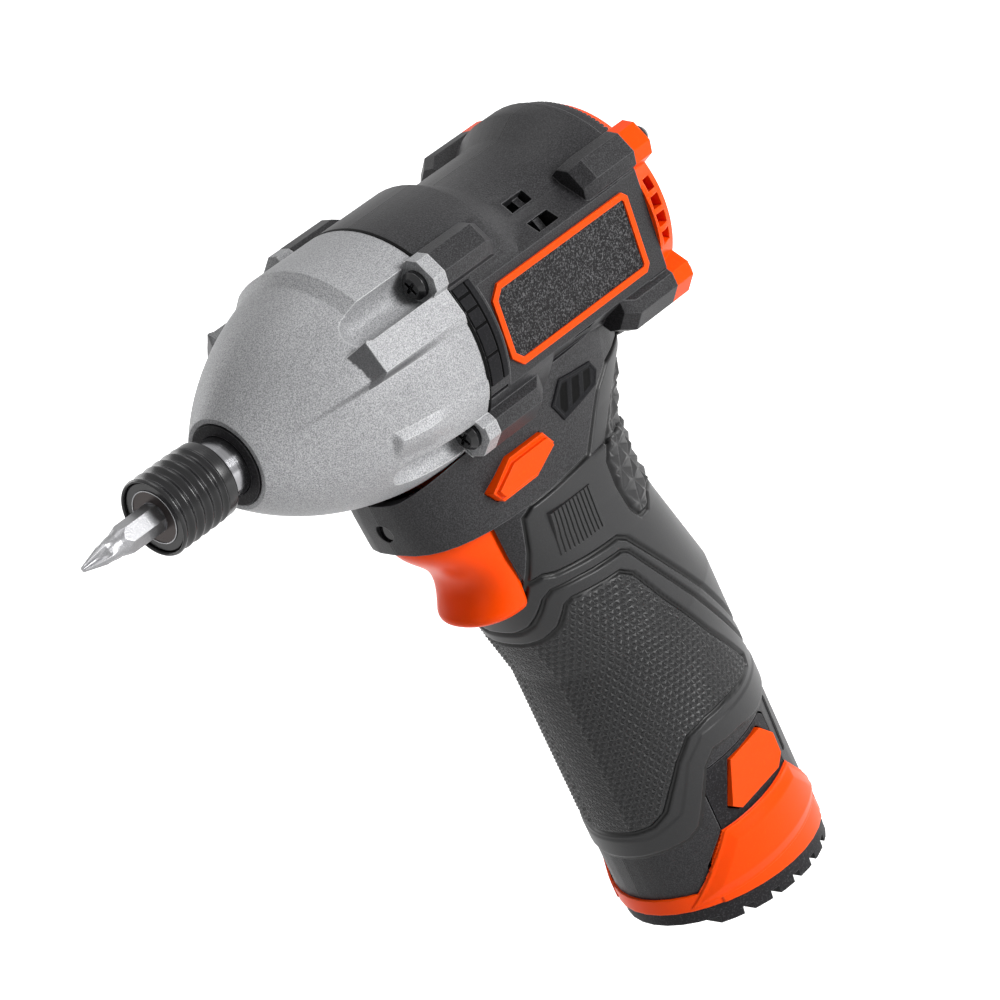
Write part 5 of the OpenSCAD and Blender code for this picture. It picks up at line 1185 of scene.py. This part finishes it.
@dataclass
class GearCase:
    """The cast gear case: a band, a dome to the nose, plates and ribs, and screw blocks with open channels.

    plate, plate_over, rib, bevel, the fades and block_at are degrees round the spindle. The painted shade on
    bevels and ledges is given as a share, and block_near and the two leasts are cosines or sines. A rows
    value ends in a count.
    """

    palette: Palette
    radius: float = 30.0
    length: float = 55.0
    nose: float = 11.4
    bore: float = 10.0
    dome_from: float = 5.0
    band: float = 20.0
    chamfer: float = 3.5
    plate: Pair = (18.0, 33.0)
    plate_over: float = 0.1
    rib: Pair = (-15.5, -12.0)
    rise: float = 0.9
    ledge: float = 1.2
    fade_from: float = 1.0
    fade: float = 38.0
    bevel: float = 4.0
    shelf: float = 1.8
    shelf_out: float = 0.3
    shelf_fade: float = 30.0
    shelf_end: Pair = (0.5, 1.5)
    # These three set the painted shade on the bevels and the ledge.
    bevel_shade: float = 0.8
    bevel_shade_from: float = 3.0
    bevel_shade_least: float = 0.05
    plate_end: float = 27.0
    slope: float = 3.5
    cone_to: float = 24.5
    ledge_end: float = 50.0
    block_at: float = 41.0
    block_out: float = 29.2
    block_half: float = 5.2
    block_cut: float = 2.4
    block_long: float = 4.6
    block_near: float = 0.8
    least_along: float = 0.1
    least_across: float = 1e-3
    seat: float = 4.0
    channel: float = 4.5
    channel_end: float = 24.0
    columns: int = 720
    sharp: float = 24.0
    edge: float = 0.02
    flange_round: float = 0.3
    band_rows: tuple[float, int] = (5.2, 22)
    chamfer_rows: tuple[float, float, int] = (0.3, 0.1, 26)
    cone_rows: tuple[float, int] = (2.0, 24)
    dome_rows: tuple[float, int] = (33.0, 42)
    nose_round: tuple[float, float, float] = (0.6, 0.25, 0.08)
    nose_face: float = 0.45
    mouth: float = 0.4
    land: float = 3.0
    wall: tuple[Pair, ...] = ((44.0, 12.0), (26.0, 21.5), (2.0, 24.8), (0.0, 24.9))
    # Where the ring of painted gap shade lies.
    gap_shade_x: Pair = (-0.8, 0.15)
    gap_shade_r: Pair = (29.0, 30.12)

    def _dome(self, x: Array) -> Array:
        """Radius of the dome: an arc that is level at dome_from and ends at the nose.

        Args:
            x: places along the spindle.

        Returns:
            The radius there.
        """
        run, drop = self.length - self.dome_from, self.radius - self.nose
        arc = (run ** 2 + drop ** 2) / (2 * drop)
        return self.radius - arc + np.sqrt(arc ** 2 - np.maximum(x - self.dome_from, 0) ** 2)

    def _banded(self, x: Array) -> Array:
        """Radius of the upper part: a straight band, then a short cone down to the dome."""
        share = np.clip((x - self.band) / self.chamfer, 0, 1)
        return self.radius + share * (self._dome(np.maximum(x, self.band + self.chamfer)) - self.radius)

    def radii(self, x: Array, angle: Array) -> tuple[Array, Array]:
        """Radius with all details over a grid.

        Below the plates the dome reaches back to the flange, above them there is the band. A plate is a plane
        set off from the axis, with a bevel below and a cone in front, and a ledge runs on from it and fades.
        A shelf below rises to the band's radius over the rib's angles and then sinks back. A channel is a
        round-nosed cylinder taken away, a screw block a square with cut corners.

        Args:
            x: column of places along the spindle.
            angle: row of angles round it.

        Returns:
            The radius at each place and angle, and the painted shade laid on the casting there, most on the
            bevels and steep ledges.
        """
        lift = np.degrees(np.arctan2(np.sin(angle), np.abs(np.cos(angle))))
        past = x > self.plate_end
        ahead = np.clip((x - self.plate_end) / (self.ledge_end - self.plate_end), 0, 1)
        low, high = self.plate
        side = np.clip((lift - low) / self.bevel + 1, 0, 1)
        dome = self._dome(x)
        r = dome + (self._banded(x) - dome) * side
        r = r + self.ledge * (1 - ahead) * side * (1 - step(lift, low + self.fade_from, self.fade)) * past
        shelf = np.clip((self.rib[1] - lift) / (self.rib[1] - self.rib[0]), 0, 1)
        shelf = shelf * (1 - step(-lift, -self.rib[0], self.shelf_fade))
        start, stop = self.shelf_end
        front = 1 - step(x, self.plate_end + start, self.plate_end + self.slope - stop)
        r = r + np.minimum(self.radius + self.shelf_out - dome, self.shelf) * shelf * front
        slant = np.clip(4 * side * (1 - side), 0, 1)
        # Painted shade on the bevels below the plates and on the ledge.
        dark = slant * np.where(past, (1 - ahead) * self.bevel_shade, step(x, self.bevel_shade_from, self.band) * self.bevel_shade)
        top = self.radius + self.rise
        cone = top - np.maximum((x - self.plate_end) / self.slope, 0) * (self.radius - self.cone_to)
        middle, half = (low + high) / 2, math.radians((high - low) / 2)
        plane = top * math.cos(half) / np.cos(np.radians(np.maximum(lift, low) - middle))
        rest = np.maximum(np.minimum(plane, cone) - r, 0) * side * (lift < high + self.plate_over)
        r = r + rest
        # Painted shade on the front cone of each plate.
        dark = np.maximum(dark, self.bevel_shade * (rest > self.bevel_shade_least) * (cone < plane) * past)
        for place in (self.block_at, -self.block_at):
            r = self._block(r, x, np.radians(lift - place))
        return r, dark

    def _block(self, r: Array, x: Array, off: Array) -> Array:
        """Takes one pair of screw channels away and adds the blocks that they end at.

        Args:
            r: the radius so far.
            x: column of places along the spindle.
            off: row of angles from the middle of the block.

        Returns:
            The new radius.
        """
        across, along = np.sin(off), np.cos(off)
        ending = np.clip(x - self.channel_end, 0, self.channel)
        room = self.channel ** 2 - ending ** 2 - (self.block_out * across) ** 2
        floor = self.block_out * along - np.sqrt(np.clip(room, 0, None))
        r = np.where((x > self.seat) & (room > 0) & (along > 0), np.minimum(r, floor), r)
        ahead, aside = np.maximum(along, self.least_along), np.abs(across)
        block = np.minimum.reduce([
            (self.block_out + self.block_half) / ahead,
            self.block_half / np.maximum(aside, self.least_across),
            (self.block_out + 2 * self.block_half - self.block_cut) / (ahead + aside),
        ])
        solid = (x < self.seat) | ((x < self.block_long) & (room <= 0))
        return np.where(solid & (along > self.block_near), np.maximum(r, block), r)

    def _rows(self) -> Array:
        """Places of the rows along the spindle, close together at each edge.

        Returns:
            A column of places.
        """
        start, end, count = self.chamfer_rows
        steps = [place + side for place in (self.seat, self.block_long) for side in (-self.edge, self.edge)]
        past = self.plate_end + self.slope + self.cone_rows[0]
        near, *last = (self.length - gap for gap in self.nose_round)
        return np.concatenate([
            [0.0, self.flange_round, *steps],
            np.linspace(self.band_rows[0], self.band, self.band_rows[1]),
            np.linspace(self.band + start, self.plate_end - end, count),
            np.linspace(self.plate_end + self.edge, past, self.cone_rows[1]),
            np.linspace(self.dome_rows[0], near, self.dome_rows[1]),
            last,
        ])[:, None]

    def build(self) -> None:
        """Carries the radius over rows from flange to nose, then back along the bore to close the wall."""
        rows = self._rows()
        angle = (np.arange(self.columns) * 2 * np.pi / self.columns)[None, :]
        outer, dark = self.radii(rows, angle)
        inner = np.array([
            (self.length, self.nose - self.nose_face), (self.length, self.bore + self.mouth),
            (self.length - self.mouth, self.bore), (self.length - self.land, self.bore), *self.wall])
        r = np.concatenate([outer, inner[:, 1:] + 0 * angle])
        points = around_spindle(np.concatenate([rows, inner[:, :1]]), r, angle)
        dark = np.concatenate([dark, np.zeros((len(inner), self.columns))])
        piece = surface("gear_case_casting", points, "housing", (True, True), groove=dark, sharp=self.sharp)
        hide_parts("gear_case")
        self.palette.dress(piece, "blasted_casting")
        self._gap_shade(angle)

    def _gap_shade(self, angle: Array) -> None:
        """Painted shade of the gap behind the flange: a thin closed ring, a square profile turned round the
        spindle, all in painted shade.

        Args:
            angle: row of angles round the spindle.
        """
        (x0, x1), (r0, r1) = self.gap_shade_x, self.gap_shade_r
        profile = np.array([(x0, r1), (x1, r1), (x1, r0), (x0, r0)])
        points = around_spindle(profile[:, :1], profile[:, 1:], angle)
        # The whole ring is painted shade.
        piece = surface("flange_gap_shade", points, "housing", (True, True), groove=np.ones(points.shape[:2]))
        self.palette.dress(piece, "outlet_black")


@dataclass
class Trigger:
    """The trigger: an oval in plan, hollowed in front for a finger, with a rounded lower end."""

    palette: Palette
    half_wide: float = 12.6
    middle: float = -3.0
    rear: float = 4.0
    top: float = -44.95
    round_from: float = -67.4
    round_by: float = 3.0
    power: float = 0.92
    rows: int = 60
    round_rows: int = 12
    columns: int = 160
    closing: float = 1e-3
    sharp: float = 50.0
    degree: int = 5
    levels: tuple[float, ...] = (-72.0, -68.5, -64.7, -61.1, -56.9, -52.8, -48.3, -44.9)
    fronts: tuple[float, ...] = (8.4, 8.2, 6.2, 4.9, 6.4, 10.2, 14.6, 16.4)

    def build(self) -> None:
        """Stacks ovals whose front follows a smooth line, the lower ones drawn in along a quarter circle."""
        turn = np.linspace(0.0, np.pi / 2, self.round_rows)[1:]
        bend = self.round_from - self.round_by * np.sin(turn)
        z = np.concatenate([np.linspace(self.top, self.round_from, self.rows), bend, bend[-1:]])
        drawn = np.concatenate([np.zeros(self.rows), self.round_by * (1 - np.cos(turn)), [0.0]])[:, None]
        curve = np.polyfit(self.levels, self.fronts, self.degree)
        front = np.polyval(curve, np.maximum(z, self.levels[0]))[:, None] - self.middle
        angle = np.linspace(0.0, 2 * np.pi, self.columns, endpoint=False)[None, :]
        c, s = np.cos(angle), np.sin(angle)
        shrink = np.ones_like(z)[:, None]
        shrink[-1] = self.closing
        x = np.where(c > 0, (front - drawn) * np.sign(c) * np.abs(c) ** self.power, self.rear * c)
        y = (self.half_wide - drawn) * np.sign(s) * np.abs(s) ** self.power
        points = np.stack([self.middle + x * shrink, y * shrink, z[:, None] + 0 * x], -1)
        piece = surface("trigger_moulding", points[:, ::-1], "trigger_group", (False, True), sharp=self.sharp)
        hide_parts("trigger")
        self.palette.dress(piece, "orange_plastic")


@dataclass
class Bit:
    """The driver bit: a hexagon, a drawn-in neck and a cross tip with four flutes."""

    palette: Palette
    flat: float = 6.35
    start: float = 54.0
    hex_end: float = 88.2
    hex_share: float = 0.578
    neck: float = 91.0
    neck_r: float = 2.75
    taper: float = 94.5
    end: float = 101.5
    tip: float = 0.4
    tip_row: float = 0.15
    tip_r: float = 0.8
    tip_share: float = 0.6
    flute: float = 0.62
    flute_from: float = 0.4
    flute_full: float = 2.5
    wing_turn: float = 0.3
    wing: Pair = (0.3, 0.97)
    hex_rows: int = 8
    hex_gap: float = 0.2
    tip_rows: int = 110
    columns: int = 240
    closing: float = 0.01
    sharp: float = 20.0

    def build(self) -> None:
        """Takes the lesser of a hexagon and a turned outline, then hollows four flutes towards the tip."""
        x = np.concatenate([
            np.linspace(self.start, self.hex_end - self.hex_gap, self.hex_rows),
            np.linspace(self.hex_end, self.end - self.tip, self.tip_rows),
            [self.end - self.tip_row, self.end],
        ])[:, None]
        angle = (np.arange(self.columns) * 2 * np.pi / self.columns)[None, :]
        corner = np.mod(angle, np.pi / 3) - np.pi / 6
        hexagon = self.flat / 2 / np.cos(corner)
        places = [self.start, self.hex_end, self.neck, self.taper, self.end - self.tip, self.end]
        radii = [
            self.flat, self.flat * self.hex_share, self.neck_r, self.neck_r, self.tip_r,
            self.tip_r * self.tip_share]
        r = np.minimum(hexagon, np.interp(x, places, radii))
        wing = step(np.abs(np.sin(2 * (angle + self.wing_turn))), *self.wing)
        deep = self.flute * step(x, self.neck + self.flute_from, self.end - self.flute_full)
        r = r * (1 - deep * wing)
        closed = np.concatenate([r, np.full_like(angle, self.closing)])
        points = around_spindle(np.concatenate([x, x[-1:]]), closed, angle)
        piece = surface("driver_bit_fluted", points, "anvil_group", (False, True), sharp=self.sharp)
        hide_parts("driver_bit")
        self.palette.dress(piece, "bit_steel")


@dataclass
class RearHood:
    """The housing's black hood over the top of the rear cap, with small teeth along its rear edge."""

    palette: Palette
    arc: Pair = (47.0, 133.0)
    front: float = -64.5
    rear: float = -70.6
    high: Pair = (30.1, 28.5)
    inner: float = 26.6
    brow: Pair = (1.8, 0.25)
    lip: float = 0.4
    soft: float = 0.5
    tooth: float = 0.5
    tooth_beat: float = 136.0
    tooth_edge: Pair = (0.0, 0.6)
    tooth_reach: float = 1.2
    columns: int = 400

    def build(self) -> None:
        """Carries a closed profile of x and radius round an arc, drawn in to a line at both ends."""
        top = self.high[1]
        profile = rounded(np.array([
            (self.front, self.inner), (self.front, self.high[0]),
            (self.rear + self.brow[0], top + self.brow[1]), (self.rear, top - self.lip),
            (self.rear, self.inner), (self.front, self.inner)]), self.soft)[1:]
        angle = np.radians(np.linspace(*self.arc, self.columns))[None, :]
        x, r = profile[:, :1] + 0 * angle, profile[:, 1:] + 0 * angle
        reached = (x < self.rear + self.tooth_reach) * (r > top - self.tooth_reach)
        r = r - step(np.sin(angle * self.tooth_beat), *self.tooth_edge) * reached * self.tooth
        r[:, [0, -1]] = self.inner
        piece = surface("rear_hood", around_spindle(x, r, angle), "housing", (True, False))
        self.palette.dress(piece, "speckled_black")


@dataclass
class BatteryPanel:
    """The raised plate on each side of the battery band: a four-sided face with wide chamfers, left bare."""

    palette: Palette
    handle: Handle
    half_top: float = 13.2
    half_foot: float = 25.0
    top: float = 26.0
    foot: float = 9.6
    out: float = 1.0
    rise: float = 0.9
    chamfer: float = 2.6
    margin: float = 0.8
    skirt: float = 0.6
    skirt_edge: Pair = (-0.1, 0.15)
    chamfer_in: float = 0.9
    keep_from: float = -0.5
    turn_share: Pair = (0.12, 0.88)
    grid: tuple[int, int] = (70, 220)
    sharp: float = 12.0

    def build(self) -> None:
        """Lays a patch on the oval of the battery: the distance inside the outline sets how far it rises."""
        outline = np.array([
            (self.half_top, self.top), (-self.half_top, self.top), (-self.half_foot, self.foot),
            (self.half_foot, self.foot)])
        rows, columns = self.grid
        level = np.linspace(self.foot - self.margin, self.top + self.margin, rows)[:, None]
        turn = np.linspace(self.turn_share[0] * np.pi, self.turn_share[1] * np.pi, columns)[None, :]
        up = level + 0 * turn
        depth = inside(self.handle.half_long * np.cos(turn) + 0 * level, up, outline)
        off = self.out - self.skirt + self.skirt * step(depth, *self.skirt_edge)
        off = off + self.rise * np.clip((depth - self.chamfer_in) / self.chamfer, 0, 1)
        far, wide = self.handle.half_long + off, self.handle.half_wide + off
        place = raked(far * np.cos(turn), wide * np.sin(turn), up)
        keep = depth > self.keep_from
        for side, sign in SIDES:
            points = place * np.array([1.0, sign, 1.0])
            name = f"battery_plate_{side}"
            piece = surface(name, points[:, ::sign], "battery", keep=keep[:, ::sign], sharp=self.sharp)
            self.palette.dress(piece, "orange_plastic")


@dataclass
class Collet:
    """The quick-change sleeve: a plain ring, soft waves for the fingers and a deep mouth round the anvil."""

    palette: Palette
    start: float = 61.0
    plain: float = 3.4
    end: float = 79.3
    radius: float = 9.6
    bore: float = 7.5
    land: float = 5.0
    room: float = 8.7
    waves: int = 5
    wave: float = 0.42
    wave_rows: int = 90
    wave_gap: float = 0.3
    lip: float = 0.7
    lip_gap: float = 0.1
    lip_round: float = 0.3
    mouth: Pair = (0.6, 0.25)
    plain_in: float = 0.25
    plain_round: Pair = (0.5, 0.7)
    groove: float = 0.15
    soft: float = 0.3
    face: float = 78.42
    face_r: float = 6.4
    face_back: float = 0.3
    hole: float = 3.72
    rim: float = 0.22
    rim_gap: float = 0.3
    face_out: float = 0.12
    rim_out: float = 0.3
    shoulder_out: float = 0.06

    def build(self) -> None:
        """Turns the sleeve, the dark face inside it, the thin bright ring round that face and a shoulder."""
        first, last = self.start + self.plain, self.end - self.lip
        x = np.linspace(first + self.wave_gap, last, self.wave_rows)
        ripple = self.radius - self.wave * (1 - np.cos(2 * np.pi * self.waves * (x - last) / (last - first)))
        seat, ring = self.start + self.land, self.radius - self.plain_in
        back, low = self.plain_round[0], self.radius - self.plain_round[1]
        lip = rounded(np.array([
            (last + self.lip_gap, self.radius), (self.end, self.radius - self.lip_round),
            (self.end, self.room + self.mouth[1]), (self.end - self.mouth[0], self.room), (seat, self.room),
            (seat, self.bore), (self.start, self.bore), (self.start, low), (self.start + back, ring),
            (first, ring), (first + self.groove, low)]), self.soft)
        sleeve = revolved("collet_sleeve_ridged", np.vstack([np.stack([x, ripple], -1), lip]), "sleeve")
        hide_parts("collet_sleeve")
        self.palette.dress(sleeve, "black_oxide")
        outer = self.face_r + self.rim
        self._ring("anvil_face", self.hole, self.face_r, self.face_out, "burnished_steel")
        self._ring("anvil_rim", self.face_r, outer, self.rim_out, "polished_steel")
        self._ring("anvil_shoulder", outer, self.room - self.rim_gap, self.shoulder_out, "black_oxide")

    def _ring(self, name: str, inner: float, outer: float, thick: float, finish: str) -> None:
        """Turns a flat ring that lies on the end of the anvil.

        Args:
            name: the piece's name.
            inner: radius of its hole.
            outer: its outer radius.
            thick: how far it stands out.
            finish: the finish's name.
        """
        front, back = self.face + thick, self.face - self.face_back
        profile = np.array([
            (back, inner), (front, inner), (front, (inner + outer) / 2), (front, outer), (back, outer)])
        piece = revolved(name, profile[::-1], "anvil_group")
        self.palette.dress(piece, finish)


@dataclass(frozen=True)
class Lamp:
    """A square soft lamp: where it hangs and its side, in metres, and its watts."""

    name: str
    spot: tuple[float, float, float]
    size: float
    power: float

    def build(self, aim: tuple[float, float, float]) -> None:
        """Hangs the lamp so that it faces a point.

        Args:
            aim: the point, in metres.
        """
        light = bpy.data.lights.new(self.name, "AREA")
        light.size, light.energy = self.size, self.power
        lamp = bpy.data.objects.new(self.name, light)
        bpy.context.scene.collection.objects.link(lamp)
        lamp.location = self.spot
        away = np.array(self.spot) - np.array(aim)
        flat = math.hypot(away[0], away[1])
        lamp.rotation_euler = (math.atan2(flat, away[2]), 0.0, math.atan2(away[1], away[0]) + math.pi / 2)


@dataclass
class Studio:
    """Pale floor, white surroundings, soft lamps and the camera."""

    spot: tuple[float, float, float] = (0.67326341, 0.74347025, 0.53578798)
    right: tuple[float, float, float] = (-0.62904281, 0.71439465, -0.30650518)
    up: tuple[float, float, float] = (-0.49061033, -0.05899471, 0.86937974)
    back: tuple[float, float, float] = (0.60299805, 0.69725168, 0.38759959)
    lens: float = 163.609
    sensor: float = 36.0
    ambient: float = 0.09
    floor_gap: float = 0.002
    floor_half: float = 6.0
    floor_points: int = 9
    floor_tones: Pair = (0.93, 0.97)
    floor_rough: float = 0.9
    glow: Pair = (0.6, 1.0)
    glow_reach: Pair = (0.3, 0.9)
    aim: tuple[float, float, float] = (0.03, 0.0, 0.13)
    lamps: tuple[Lamp, ...] = (
        Lamp("key_lamp", (-0.32, 1.22, 0.66), 0.5, 20.0),
        Lamp("top_lamp", (-0.15, -0.1, 1.35), 0.6, 4.0),
        Lamp("front_lamp", (1.2, 0.0, 0.3), 0.5, 0.8),
        Lamp("rear_lamp", (-1.1, 0.1, 0.4), 0.6, 3.2),
        Lamp("far_lamp", (0.1, -1.2, 0.5), 0.7, 5.0),
    )

    def build(self) -> None:
        """Sets the view, the surroundings, the floor, the lamps and the camera."""
        bpy.context.scene.view_settings.view_transform = "Standard"
        self._world()
        self._floor()
        for lamp in self.lamps:
            lamp.build(self.aim)
        self._camera()

    @staticmethod
    def _seen(graph: Graph) -> bpy.types.NodeSocket:
        """Tells what is looked at from what only lights the object.

        Args:
            graph: the tree that asks.

        Returns:
            1 for the camera, for reflections and for what is seen through glass, 0 for the light.
        """
        path = graph.node("ShaderNodeLightPath")
        seen = graph.math("MAXIMUM", path.outputs["Is Camera Ray"], path.outputs["Is Glossy Ray"])
        return graph.math("MAXIMUM", seen, path.outputs["Is Transmission Ray"])

    def _world(self) -> None:
        """White where it is seen, a plain grey where it lights the object."""
        world = bpy.data.worlds.new("pale_room")
        bpy.context.scene.world = world
        world.use_nodes = True
        graph = Graph(world.node_tree)
        colour = graph.mix(self._seen(graph), (self.ambient,) * 3, (1.0, 1.0, 1.0))
        graph.join(colour, world.node_tree.nodes["Background"].inputs["Color"])

    def _floor(self) -> None:
        """A pale plane below the battery's travel.

        Its white comes from plain emission added to the paint, so that the shadow stays near the driver. The
        emission grows from near to far with the distance from the middle.
        """
        travel = joint("battery_slide")["range_m"][1]
        level = travel * DOWN[2] - self.floor_gap
        span = np.linspace(-self.floor_half, self.floor_half, self.floor_points)
        x, y = np.meshgrid(span, span, indexing="ij")
        points = np.stack([x, y, 0 * x + level], -1).reshape(-1, 3)
        mesh = bpy.data.meshes.new("floor")
        mesh.from_pydata(points, [], grid_faces(self.floor_points, self.floor_points))
        floor = bpy.data.objects.new("floor", mesh)
        bpy.context.scene.collection.objects.link(floor)
        paint = bpy.data.materials.new("pale_floor")
        paint.use_nodes = True
        graph = Graph(paint.node_tree)
        shader = paint.node_tree.nodes["Principled BSDF"]
        place = graph.place()
        dark, pale = ((tint,) * 3 for tint in self.floor_tones)
        mottle = graph.noise(place, scale=3.0, detail=2.0)
        graph.join(graph.mix(mottle, dark, pale), shader.inputs["Base Color"])
        shader.inputs["Roughness"].default_value = self.floor_rough
        shader.inputs["Specular IOR Level"].default_value = 0.0
        shader.inputs["Emission Color"].default_value = (1.0, 1.0, 1.0, 1.0)
        away = graph.node("ShaderNodeVectorMath", {"operation": "LENGTH"}, i0=place).outputs["Value"]
        glow = graph.span(away, *self.glow_reach, *self.glow)
        graph.join(graph.times(self._seen(graph), glow), shader.inputs["Emission Strength"])
        mesh.materials.append(paint)

    def _camera(self) -> None:
        """Stands the camera at the photograph's place and angle."""
        data = bpy.data.cameras.new("camera")
        data.lens, data.sensor_width = self.lens, self.sensor
        camera = bpy.data.objects.new("camera", data)
        bpy.context.scene.collection.objects.link(camera)
        pose = np.eye(4)
        pose[:3] = np.stack([self.right, self.up, self.back, self.spot], -1)
        camera.matrix_world = Matrix(pose.tolist())
        bpy.context.scene.camera = camera


SHOWN = {
    "housing_left": "seamed_black", "housing_right": "seamed_black",
    "gear_case_screws": "black_oxide", "nose_seal": "speckled_black", "anvil": "polished_steel",
    "retaining_ring": "black_oxide", "lock_balls": "polished_steel",
    "rear_cap": "orange_plastic", "rear_cap_screws": "black_oxide", "label_frame_left": "orange_plastic",
    "label_frame_right": "orange_plastic", "label_plate_left": "grained_insert",
    "label_plate_right": "grained_insert", "selector": "orange_plastic",
    "lamp_lens": "clear_lens", "housing_screws": "black_oxide", "battery_case": "speckled_black",
    "battery_band": "orange_plastic", "battery_foot": "speckled_black", "release_left": "orange_plastic",
    "release_right": "orange_plastic", "terminal_block": "speckled_black", "terminal_blades": "drawn_copper",
    "battery_contacts": "drawn_copper", "motor_can": "turned_steel", "motor_end_cap": "speckled_black",
}


def dress_inner(palette: Palette) -> None:
    """Gives every CAD node that stays the finish of its slot in the record.

    Args:
        palette: the materials.
    """
    slots = {part["node"]: part["material_slot"] for part in frame["record"]["subparts"]}
    for name, node in frame["nodes"].items():
        if not node.hide_render:
            finish = palette.name_of_slot.get(slots.get(name, ""), "turned_steel")
            node.data.materials.clear()
            node.data.materials.append(palette.by_name[finish])
            LOG.info("%s keeps its solid, in %s", name, finish)


def main() -> None:
    """Builds the sub-assemblies in order, then the studio."""
    logging.basicConfig(level=logging.INFO, format="%(message)s")
    palette = Palette()
    handle = Handle()
    Copies(palette, SHOWN).build()
    Springs(palette).build()
    Grip(palette, handle).build()
    SidePanels(palette, handle).build()
    GearCase(palette).build()
    RearHood(palette).build()
    Trigger(palette).build()
    BatteryPanel(palette, handle).build()
    Collet(palette).build()
    Bit(palette).build()
    dress_inner(palette)
    Studio().build()


if __name__ == "__main__":
    main()
